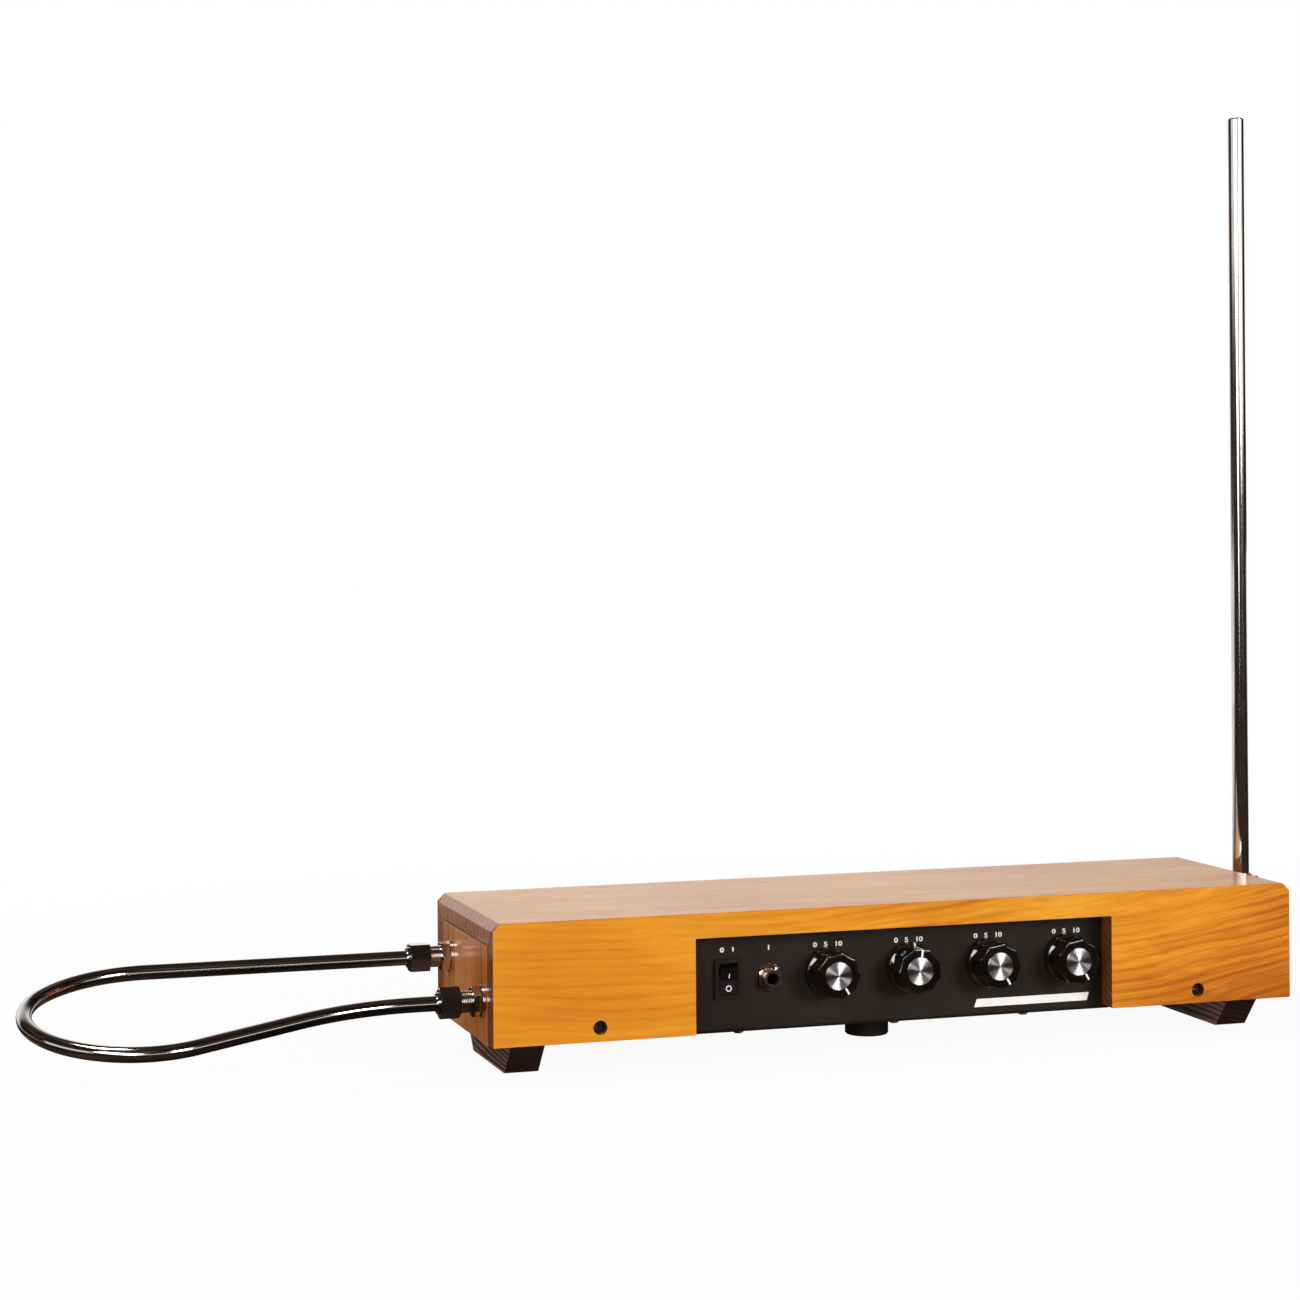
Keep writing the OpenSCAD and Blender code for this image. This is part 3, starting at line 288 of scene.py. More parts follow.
@dataclass(frozen=True)
class StainedWood:
    """Close-grained hardwood under an amber stain and a thin satin oil.

    The rings are drawn in depth round the log's axis, so faces show long grain and cut
    ends show arcs. The log is bowed and its rings wander, which makes the lines rise and
    fade. End grain drinks the stain and comes out several shades darker.
    """

    name: str
    light: str = "#e6a02a"
    middle: str = "#d4861b"
    dark: str = "#bd6a16"
    deep: str = "#984c10"
    end_light: str = "#a5602c"
    end_dark: str = "#6b3415"
    grain: Grain = Grain.ALONG_X
    axis_mm: tuple[float, float] = (150.0, -250.0)
    bow_per_m: float = 0.25
    bow_at_mm: float = -150.0
    ring_mm: float = 4.2
    wander_mm: float = 34.0
    contrast: float = 0.08
    end_contrast: float = 0.12
    figure: tuple[float, float] = (0.9, 0.9)
    corner: float = 0.0
    roughness: float = 0.2
    ior: float = 1.35

    def make(self) -> Material:
        """Build the wood's node material.

        Returns:
            The material.
        """
        material, tree, place = start_material(self.name)
        log_place = add(tree, "Mapping", {"Vector": place, "Rotation": self.grain.value})
        # The rings wander over 200 mm along the log and 70 mm across it
        wide = add(tree, "Mapping", {"Vector": log_place, "Scale": (0.35, 1, 1)})
        drift = add(
            tree, "TexNoise", {"Vector": wide, "Scale": 14, "Detail": 2, "Roughness": 0.4}
        )
        reach = (self.wander_mm * MM,) * 3
        shift = add(
            tree,
            "VectorMath",
            {0: drift.outputs["Color"], 1: reach, 2: (-reach[0] / 2,) * 3},
            operation="MULTIPLY_ADD",
        )
        wandering = add(tree, "VectorMath", {0: log_place, 1: shift}, operation="ADD")
        parts = add(tree, "SeparateXYZ", {0: wandering}).outputs
        along = add(tree, "Math", {0: parts["X"], 1: self.bow_at_mm * MM}, operation="SUBTRACT")
        squared = add(tree, "Math", {0: along, 1: along}, operation="MULTIPLY")
        height = add(
            tree,
            "Math",
            {0: squared, 1: -self.bow_per_m, 2: parts["Z"]},
            operation="MULTIPLY_ADD",
        )
        bowed = add(tree, "CombineXYZ", {"X": parts["X"], "Y": parts["Y"], "Z": height})
        middle = (0, -self.axis_mm[0] * MM, -self.axis_mm[1] * MM)
        centred = add(
            tree, "Mapping", {"Vector": bowed, "Location": middle, "Scale": (0, 1, 1)}
        )
        radius = add(tree, "VectorMath", {0: centred}, operation="LENGTH").outputs["Value"]
        # Shade that comes and goes over 50 mm, and takes the rings' strength with it
        clouds = add(
            tree, "TexNoise", {"Vector": wide, "Scale": 22, "Detail": 3, "Roughness": 0.55}
        )
        # Good and lean years: the rings' spacing varies
        spread = add(tree, "Math", {0: clouds, 1: 11.0}, operation="MULTIPLY")
        ring_turns = add(
            tree,
            "Math",
            {0: radius, 1: 2 * math.pi / (self.ring_mm * MM), 2: spread},
            operation="MULTIPLY_ADD",
        )
        wave = add(tree, "Math", {0: ring_turns}, operation="SINE")
        late_wood = add(
            tree,
            "MapRange",
            {"Value": wave, "From Min": -0.2, "From Max": 1.0},
            interpolation_type="SMOOTHSTEP",
        )
        strength = add(
            tree,
            "MapRange",
            {"Value": clouds, "From Min": 0.36, "From Max": 0.62, "To Max": self.contrast},
        )
        long_place = add(tree, "Mapping", {"Vector": bowed, "Scale": (GRAIN_STRETCH, 1, 1)})
        layers = []
        for per_m, octaves, rough, weight in LONG_GRAIN:
            noise = {"Vector": long_place, "Scale": per_m, "Detail": octaves, "Roughness": rough}
            layers.append((add(tree, "TexNoise", noise), weight))
        fibres = layers[0][0]
        detail = -0.33
        for layer, weight in layers + [(late_wood, strength)]:
            detail = add(
                tree, "Math", {0: layer, 1: weight, 2: detail}, operation="MULTIPLY_ADD"
            )
        figure = add(
            tree,
            "MapRange",
            {
                "Value": parts["X"],
                "From Min": FIGURE_ALONG[0],
                "From Max": FIGURE_ALONG[1],
                "To Min": self.figure[0],
                "To Max": self.figure[1],
            },
        )
        far, low = (
            add(
                tree,
                "MapRange",
                {
                    "Value": parts[axis],
                    "From Min": start,
                    "From Max": end,
                    "To Min": least,
                    "To Max": most,
                },
                interpolation_type="SMOOTHSTEP",
            )
            for axis, (start, end), least, most in (
                ("X", CORNER_ALONG, 0.0, self.corner),
                ("Z", CORNER_UP, 0.3, 1.0),
            )
        )
        shade = add(tree, "Math", {0: clouds, 1: 0.42, 2: 0.25}, operation="MULTIPLY_ADD")
        for layer, weight in ((detail, figure), (far, low)):
            shade = add(tree, "Math", {0: layer, 1: weight, 2: shade}, operation="MULTIPLY_ADD")
        tones = [(0.34, self.light), (0.48, self.middle), (0.62, self.dark), (0.82, self.deep)]
        long_grain = add(tree, "ValToRGB", {"Fac": shade}, tones)
        arcs = add(
            tree,
            "Math",
            {0: late_wood, 1: self.end_contrast, 2: shade},
            operation="MULTIPLY_ADD",
        )
        end_tones = [(0.25, self.end_light), (0.8, self.end_dark)]
        end_grain = add(tree, "ValToRGB", {"Fac": arcs}, end_tones)
        normal = add(tree, "NewGeometry").outputs["Normal"]
        across = add(tree, "SeparateXYZ", {0: normal}).outputs[self.grain.name[-1]]
        steep = add(tree, "Math", {0: across}, operation="ABSOLUTE")
        is_end = add(tree, "MapRange", {"Value": steep, "From Min": 0.45, "From Max": 0.7})
        colour = add(
            tree, "Mix", {"Factor": is_end, 6: long_grain, 7: end_grain}, data_type="RGBA"
        )
        low_polish, high_polish = self.roughness - 0.06, self.roughness + 0.12
        polish = add(
            tree, "MapRange", {"Value": fibres, "To Min": low_polish, "To Max": high_polish}
        )
        pores = add(tree, "Bump", {"Height": fibres, "Strength": 0.12, "Distance": 0.12 * MM})
        end_material(
            tree,
            {
                "Base Color": colour.outputs[2],
                "Roughness": polish,
                "Normal": pores,
                "IOR": self.ior,
            },
        )
        return material


# Walnut under oil: open dark lines, and end grain nearly black
WALNUT = {
    "light": "#b39182",
    "middle": "#8d6c5f",
    "dark": "#5c4238",
    "deep": "#2c1b15",
    "end_light": "#3a2620",
    "end_dark": "#1d110c",
    "grain": Grain.ALONG_Y,
    "bow_at_mm": 0.0,
    "ring_mm": 3.2,
    "contrast": 0.5,
    "roughness": 0.38,
}
# Birch left raw: pale and matt
BIRCH = {
    "light": "#ac8760",
    "middle": "#93704b",
    "dark": "#7a5838",
    "deep": "#5c4028",
    "end_light": "#7d5a3a",
    "end_dark": "#4a3220",
    "roughness": 0.6,
}
# The end panels took less stain: a pinker brown in wide upright bands
END_PANEL = {
    "light": "#d69257",
    "middle": "#c4783f",
    "dark": "#aa5928",
    "deep": "#843c16",
    "end_light": "#b37544",
    "end_dark": "#7d4826",
    "grain": Grain.ALONG_Z,
    "bow_at_mm": 40.0,
    "ring_mm": 8.5,
    "contrast": 0.1,
}


def skin(
    tree: NodeTree,
    place: NodeSocket,
    per_m: float,
    tones: list[tuple[float, str]],
    gloss: tuple[float, float],
    gloss_from: tuple[float, float] = (0.0, 1.0),
    relief: tuple[float, float, float] | None = None,
) -> dict[str, Any]:
    """Let one noise drift a surface's colour and gloss, over a finer relief.

    Args:
        tree: The tree that takes the nodes.
        place: The socket that gives each point's place.
        per_m: How many of the drift's patches go to a metre.
        tones: Where the noise reaches each of the two colours.
        gloss: The roughness at the two ends of gloss_from.
        gloss_from: The part of the noise that the gloss follows.
        relief: Grain in mm, strength and depth in mm, if there is any relief.

    Returns:
        The shader's inputs.
    """
    drift = add(
        tree, "TexNoise", {"Vector": place, "Scale": per_m, "Detail": 3 if relief else 4}
    )
    ends = dict(zip(("From Min", "From Max", "To Min", "To Max"), gloss_from + gloss))
    inputs = {
        "Base Color": add(tree, "ValToRGB", {"Fac": drift}, tones),
        "Roughness": add(tree, "MapRange", {"Value": drift, **ends}),
    }
    if relief:
        grain_mm, strength, depth_mm = relief
        grain = add(
            tree, "TexNoise", {"Vector": place, "Scale": 1 / (grain_mm * MM), "Detail": 2}
        )
        inputs["Normal"] = add(
            tree, "Bump", {"Height": grain, "Strength": strength, "Distance": depth_mm * MM}
        )
    return inputs


@dataclass(frozen=True)
class PowderCoat:
    """Baked powder coat on steel: a fine pebbled skin, satin, nearly black."""

    name: str
    colour: str = "#1e150e"
    worn: str = "#281e15"
    grit_mm: float = 0.35
    roughness: float = 0.46
    gloss: float = 0.18

    def make(self) -> Material:
        """Build the coat's node material.

        Returns:
            The material.
        """
        material, tree, place = start_material(self.name)
        tones = [(0.3, self.colour), (0.75, self.worn)]
        gloss = (self.roughness - 0.05, self.roughness + 0.08)
        inputs = skin(tree, place, 30, tones, gloss, relief=(self.grit_mm, 0.25, 0.03))
        end_material(tree, {**inputs, "Specular IOR Level": self.gloss})
        return material


@dataclass(frozen=True)
class Moulded:
    """Moulded plastic or rubber: even colour, faint flow marks in its gloss."""

    name: str
    colour: str
    second: str
    roughness: float = 0.3
    grain_mm: float = 0.5
    relief: float = 0.05
    gloss: float = 0.5
    ior: float = 1.5

    def make(self) -> Material:
        """Build the plastic's node material.

        Returns:
            The material.
        """
        material, tree, place = start_material(self.name)
        tones = [(0.35, self.colour), (0.7, self.second)]
        gloss = (self.roughness * 0.85, self.roughness * 1.2)
        inputs = skin(tree, place, 90, tones, gloss, relief=(self.grain_mm, self.relief, 0.05))
        end_material(tree, {**inputs, "Specular IOR Level": self.gloss, "IOR": self.ior})
        return material


@dataclass(frozen=True)
class Plated:
    """Polished plating on brass or steel: a mirror with the odd smear of handling."""

    name: str
    colour: str = "#dad5d0"
    second: str = "#c6bfb8"
    roughness: float = 0.085
    smear: float = 0.04

    def make(self) -> Material:
        """Build the metal's node material.

        Returns:
            The material.
        """
        material, tree, place = start_material(self.name)
        tones = [(0.35, self.colour), (0.75, self.second)]
        gloss = (self.roughness, self.roughness + self.smear)
        inputs = skin(tree, place, 60, tones, gloss, gloss_from=(0.4, 0.8))
        end_material(tree, {**inputs, "Metallic": 1.0})
        return material


@dataclass(frozen=True)
class FaceTurned:
    """Aluminium faced on a lathe: fine rings round the disc's middle.

    The rings stretch every highlight across them, which gives the disc its two bright
    wedges. They are drawn a little coarser than real ones so that they show.
    """

    name: str
    centre_mm: tuple[float, float, float]
    colour: str = "#e4e4e2"
    second: str = "#c9c9c8"
    groove_mm: float = 0.3
    roughness: float = 0.3
    stretch: float = 1.0

    def make(self) -> Material:
        """Build the disc's node material.

        Returns:
            The material.
        """
        material, tree, place = start_material(self.name)
        centre = tuple(-c * MM for c in self.centre_mm)
        local = add(tree, "Mapping", {"Vector": place, "Location": centre})
        rings = add(
            tree,
            "TexWave",
            {"Vector": local, "Scale": WAVE_RING / (self.groove_mm * MM), "Distortion": 0.2},
            wave_type="RINGS",
            rings_direction="Y",
        ).outputs["Fac"]
        flat = add(tree, "Mapping", {"Vector": local, "Scale": (1, 0, 1)})
        outwards = add(tree, "VectorMath", {0: flat}, operation="NORMALIZE")
        tangent = add(
            tree,
            "VectorTransform",
            {0: outwards},
            vector_type="VECTOR",
            convert_from="OBJECT",
            convert_to="WORLD",
        )
        tones = [(0.2, self.second), (0.7, self.colour)]
        inputs = {
            "Base Color": add(tree, "ValToRGB", {"Fac": rings}, tones),
            "Tangent": tangent,
            "Normal": add(
                tree, "Bump", {"Height": rings, "Strength": 0.03, "Distance": 0.02 * MM}
            ),
            "Metallic": 1.0,
            "Roughness": self.roughness,
            "Anisotropic": self.stretch,
        }
        end_material(tree, inputs)
        return material


@dataclass(frozen=True)
class WoundWire:
    """Enamelled copper wire wound in piles: fine bands round the coil's axis."""

    name: str
    colour: str = "#b5622e"
    second: str = "#6e3213"
    wire_mm: float = 0.5

    def make(self) -> Material:
        """Build the winding's node material.

        Returns:
            The material.
        """
        material, tree, place = start_material(self.name)
        bands = add(
            tree,
            "TexWave",
            {"Vector": place, "Scale": WAVE_RING / (self.wire_mm * MM), "Distortion": 0.4},
            bands_direction="X",
        ).outputs["Fac"]
        tones = [(0.1, self.second), (0.6, self.colour)]
        inputs = {
            "Base Color": add(tree, "ValToRGB", {"Fac": bands}, tones),
            "Normal": add(
                tree, "Bump", {"Height": bands, "Strength": 0.4, "Distance": 0.1 * MM}
            ),
            "Metallic": 0.7,
            "Roughness": 0.35,
        }
        end_material(tree, inputs)
        return material


# ------------------------------------------------------------------ the object's pieces


@dataclass
class Cabinet:
    """The wooden cover, its end panels, the base board and the feet."""

    edge: float = 0.5 * MM
    body: str = "cabinet"
    woods: dict[str, StainedWood] = field(
        default_factory=lambda: {
            "front_board": StainedWood(
                "stained_front",
                end_light="#8f4f22",
                end_dark="#5a2a10",
                figure=(0.65, 1.45),
                corner=0.24,
            ),
            "top_board": StainedWood(
                "stained_top",
                end_light="#b97a4e",
                end_dark="#7a4226",
                end_contrast=0.1,
                axis_mm=(160, -30),
                ring_mm=7.5,
                bow_at_mm=60,
                ior=1.45,
            ),
            "back_board": StainedWood("stained_back", axis_mm=(-160, 300), bow_at_mm=90),
            "left_end_panel": StainedWood("stained_left_end", axis_mm=(180, 90), **END_PANEL),
            "right_end_panel": StainedWood("stained_right_end", axis_mm=(-170, 80), **END_PANEL),
            "base_board": StainedWood("birch_base", **BIRCH),
            "left_foot": StainedWood("walnut_left_foot", **WALNUT),
            "right_foot": StainedWood("walnut_right_foot", axis_mm=(-160, -240), **WALNUT),
        }
    )

    def build(self) -> None:
        """Make each board with softened edges and dress it."""
        for node, wood in self.woods.items():
            board = copy_of(node, node + "_wood", self.body, soften_mm=5)
            soften(board, self.edge, "WEIGHT")
            dress(board, wood.make())
            log.info("%s: %s", node, wood.name)


@dataclass
class Loop:
    """The volume loop: one tube bent through four arcs in a leaning plane."""

    tube: float = 3.95 * MM
    wall: float = 0.9 * MM
    start: float = 3.3 * MM
    back_leg: float = 164 * MM
    far_r: float = 72 * MM
    far_angle: float = 51
    near_r: float = 55 * MM
    return_angle: float = 25
    return_r: float = 150 * MM
    fit_back: tuple[float, float, float] = (-228.6 * MM, 29.6 * MM, 50.8 * MM)
    fit_front: tuple[float, float, float] = (-228.6 * MM, -40.4 * MM, 37.8 * MM)
    round_steps: int = 40
    bend_step: float = 2.5 * MM

    def build(self, metal: Material) -> None:
        """Sweep the tube along its path and let it stand for the frame's loop.

        Args:
            metal: The tube's material.
        """
        spacing = (Vector(self.fit_back) - Vector(self.fit_front)).length
        lean = math.atan2(
            self.fit_back[2] - self.fit_front[2], self.fit_back[1] - self.fit_front[1]
        )
        far, back = math.radians(self.far_angle), math.radians(self.return_angle)
        slant = (
            self.far_r * (1 - math.cos(far))
            + self.near_r * (math.cos(far) + math.cos(back))
            - self.return_r * (1 - math.cos(back))
            - spacing
        ) / math.sin(back)
        bm = bmesh.new()
        ring = bmesh.ops.create_circle(
            bm,
            segments=self.round_steps,
            radius=self.tube,
            matrix=Matrix.Translation((self.start, 0, 0)) @ Matrix.Rotation(math.pi / 2, 4, "Y"),
        )["verts"]
        geom = list(ring) + list({e for v in ring for e in v.link_edges})
        # Flat path: u outwards along +X, v from the back leg to the front leg along +Y
        heading = 0.0
        point = Vector((self.start, 0, 0))
        for kind, size, turn in (
            ("straight", self.back_leg - self.start, 0.0),
            ("bend", self.far_r, far),
            ("bend", self.near_r, math.pi - far + back),
            ("straight", slant, 0.0),
            ("bend", self.return_r, -back),
            ("straight", 0.0, 0.0),
        ):
            along = Vector((math.cos(heading), math.sin(heading), 0))
            if kind == "straight":
                length = size or point.x - self.start
                edges = only(geom, BMEdge)
                geom = bmesh.ops.extrude_edge_only(bm, edges=edges)["geom"]
                verts = only(geom, BMVert)
                bmesh.ops.translate(bm, verts=verts, vec=along * length)
                edges = only(geom, BMEdge)
                geom = verts + [e for e in edges if all(v in verts for v in e.verts)]
                point = point + along * length
                continue
            side = 1 if turn > 0 else -1
            centre = point + side * size * Vector((-along.y, along.x, 0))
            made = bmesh.ops.spin(
                bm,
                geom=geom,
                cent=centre,
                axis=(0, 0, 1),
                dvec=(0, 0, 0),
                angle=turn,
                steps=max(8, round(abs(turn) * size / self.bend_step)),
                use_merge=False,
                use_duplicate=False,
            )
            geom = made["geom_last"]
            heading += turn
            point = centre + side * size * Vector((math.sin(heading), -math.cos(heading), 0))
        bmesh.ops.recalc_face_normals(bm, faces=bm.faces)
        flat_to_place = (
            Matrix.Translation(Vector(self.fit_back))
            @ Matrix.Rotation(lean, 4, "X")
            @ Matrix.Rotation(math.pi, 4, "Z")
        )
        bmesh.ops.transform(bm, matrix=flat_to_place, verts=bm.verts)
        loop = finish_mesh(bm, "bent_loop", "loop", 60)
        wall = loop.modifiers.new("tube_wall", "SOLIDIFY")
        wall.thickness = self.wall
        wall.offset = -1
        dress(loop, metal)
        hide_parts("volume_loop")
        log.info("bent loop, slanted stretch %.1f mm", slant / MM)


@dataclass
class Fittings:
    """Bulkhead fittings, nuts, washers and the pitch antenna."""

    nodes: dict[str, str] = field(
        default_factory=lambda: {
            "loop_back_fitting": "cabinet",
            "loop_front_fitting": "cabinet",
            "pitch_elbow": "cabinet",
            "fitting_washers": "cabinet",
            "output_jack": "cabinet",
            "output_jack_nut": "cabinet",
            "loop_back_nut": "back_nut",
            "loop_front_nut": "front_nut",
            "pitch_nut": "antenna_nut",
            "pitch_antenna": "antenna",
        }
    )
    jack_mm: tuple[float, float, float] = (-73.8, -47.2, 42.3)
    # Radius and height up the black plastic cup in the jack's bore; where it lines the metal
    # sleeve, its black is painted shade
    barrel_and_bore_shade_mm: tuple[tuple[float, float], ...] = (
        (0, -8), (3.22, -8), (3.22, 4.9), (3.0, 4.9), (3.0, -7.6), (0, -7.6)
    )
    edge: float = 0.15 * MM
    neck_out: float = 6.6 * MM
    neck: tuple[float, float] = (5.6 * MM, 5.9 * MM)
    elbow_x: float = 248.6 * MM
    elbow_up: float = 9.4 * MM
    elbow_neck: tuple[float, float] = (7.2 * MM, 1.2 * MM)
    jack_out: float = 3.3 * MM
    jack_neck: tuple[float, float, float, float] = (4.75 * MM, 2.9 * MM, 0.6 * MM, 0.2 * MM)

    def out(self, fitting: tuple[float, float, float]) -> tuple[float, float, float]:
        """Give the inner end of a loop fitting's visible thread."""
        return (fitting[0] - self.neck_out, fitting[1], fitting[2])

    def jack_barrel(self, plastic: Material) -> None:
        """Set the jack's black plastic barrel deep in its bore; carried up inside the metal
        sleeve, it is painted shade for the dark hole.

        Args:
            plastic: The barrel's material.
        """
        spot = Matrix.Translation(Vector(self.jack_mm) * MM)
        # The cup lines the metal sleeve too: its black there is painted shade, not plastic
        cup = turned(self.barrel_and_bore_shade_mm, spot @ Matrix.Rotation(math.pi / 2, 4, "X"), 48)
        dress(finish_mesh(cup, "jack_barrel", "cabinet"), plastic)

    def build(self, metal: Material, satin: Material, plastic: Material) -> None:
        """Smooth and dress every plated piece.

        Args:
            metal: The plating's material.
            satin: The duller plating on the output jack, tinted warm as a painted reflection of
                the wood.
            plastic: The jack's barrel, whose black in the sleeve's bore is painted shade.
        """
        self.jack_barrel(plastic)
        loop = Loop()
        back, front = self.out(loop.fit_back), self.out(loop.fit_front)
        elbow_top = (self.elbow_x, loop.fit_back[1], loop.fit_back[2] + self.elbow_up)
        jack = tuple(c * MM for c in self.jack_mm)
        jack_end = (jack[0], jack[1] - self.jack_out, jack[2])
        for name, start, axis, flip, sizes in (
            ("back_neck_thread", back, "X", -1, self.neck),
            ("front_neck_thread", front, "X", -1, self.neck),
            ("pitch_neck_thread", elbow_top, "Z", 1, self.elbow_neck),
            ("jack_thread", jack_end, "Y", 1, self.jack_neck),
        ):
            Thread(name, "cabinet", start, axis, flip, *sizes).build(metal)
        for node, body in self.nodes.items():
            piece = copy_of(node, node + "_plated", body, 28)
            soften(piece, self.edge, "ANGLE", 35)
            dress(piece, satin if "jack" in node else metal)
            log.info("%s plated", node)


@dataclass(frozen=True)
class Thread:
    """A fine screw thread rolled on a round stem."""

    name: str
    body: str
    start: tuple[float, float, float]
    axis: str
    flip: int
    radius: float
    length: float
    pitch: float = 0.95 * MM
    ridge: float = 0.3 * MM
    steps: int = 36

    def build(self, metal: Material) -> None:
        """Wind the thread's ridge as a helix round its stem.

        Args:
            metal: The stem's material.
        """
        turns = self.length / self.pitch
        bm = bmesh.new()
        ring = bmesh.ops.create_circle(
            bm,
            segments=6,
            radius=self.ridge,
            matrix=Matrix.Translation((self.radius - self.ridge * 0.35, 0, 0))
            @ Matrix.Rotation(math.pi / 2, 4, "X"),
        )["verts"]
        edges = list({e for v in ring for e in v.link_edges})
        bmesh.ops.spin(
            bm,
            geom=list(ring) + edges,
            cent=(0, 0, 0),
            axis=(0, 0, 1),
            dvec=(0, 0, self.pitch / self.steps),
            angle=2 * math.pi * turns,
            steps=round(self.steps * turns),
            use_merge=False,
            use_duplicate=False,
        )
        bmesh.ops.holes_fill(bm, edges=[e for e in bm.edges if e.is_boundary], sides=8)
        bmesh.ops.recalc_face_normals(bm, faces=bm.faces)
        turn = {
            "X": Matrix.Rotation(self.flip * math.pi / 2, 4, "Y"),
            "Y": Matrix.Rotation(math.pi / 2, 4, "X"),
            "Z": Matrix.Identity(4),
        }[self.axis]
        bmesh.ops.transform(
            bm, matrix=Matrix.Translation(Vector(self.start)) @ turn, verts=bm.verts
        )
        piece = finish_mesh(bm, self.name, self.body, 80)
        dress(piece, metal)


@dataclass
class Rocker:
    """The white marks on the power rocker's two flats."""

    pivot_mm: tuple[float, float, float] = (-97.1, -46.0, 42.9)
    tilt_deg: float = 11
    valley_mm: float = 3.2
    film_mm: float = 0.06
    lift_mm: float = 0.01
    ring_mm: tuple[float, float] = (1.15, 1.65)
    ring_at_mm: float = 4.3
    stroke_mm: tuple[float, float] = (0.45, 2.6)
    stroke_at_mm: float = 2.7

    def place(self, side: int, along_mm: float) -> Matrix:
        """Give the turn from a mark's own XY plane to its place on a flat.

        Args:
            side: 1 for the upper flat, -1 for the lower one.
            along_mm: Distance from the valley between the flats.

        Returns:
            The transform, in metres.
        """
        tilt = math.radians(self.tilt_deg)
        return (
            Matrix.Translation(Vector(self.pivot_mm) * MM)
            @ Matrix.Rotation(tilt, 4, "X")
            @ Matrix.Translation((0, -self.valley_mm * MM, 0))
            @ Matrix.Rotation(side * tilt, 4, "X")
            @ Matrix.Translation((0, -self.lift_mm * MM, side * along_mm * MM))
            @ Matrix.Rotation(math.pi / 2, 4, "X")
        )

    def build(self, ink: Material) -> None:
        """Print a ring below and a stroke above.

        Args:
            ink: The white print.
        """
        (inner, outer), film = self.ring_mm, self.film_mm
        section = [(inner, 0), (outer, 0), (outer, film), (inner, film), (inner, 0)]
        ring = turned(section, self.place(-1, self.ring_at_mm), 40)
        dress(finish_mesh(ring, "rocker_ring_mark", "rocker"), ink)
        wide, high = self.stroke_mm
        bm = bmesh.new()
        bmesh.ops.create_cube(
            bm,
            size=1,
            matrix=self.place(1, self.stroke_at_mm)
            @ Matrix.Translation((0, 0, film / 2 * MM))
            @ Matrix.Diagonal((wide * MM, high * MM, film * MM, 1)),
        )
        dress(finish_mesh(bm, "rocker_stroke_mark", "rocker"), ink)


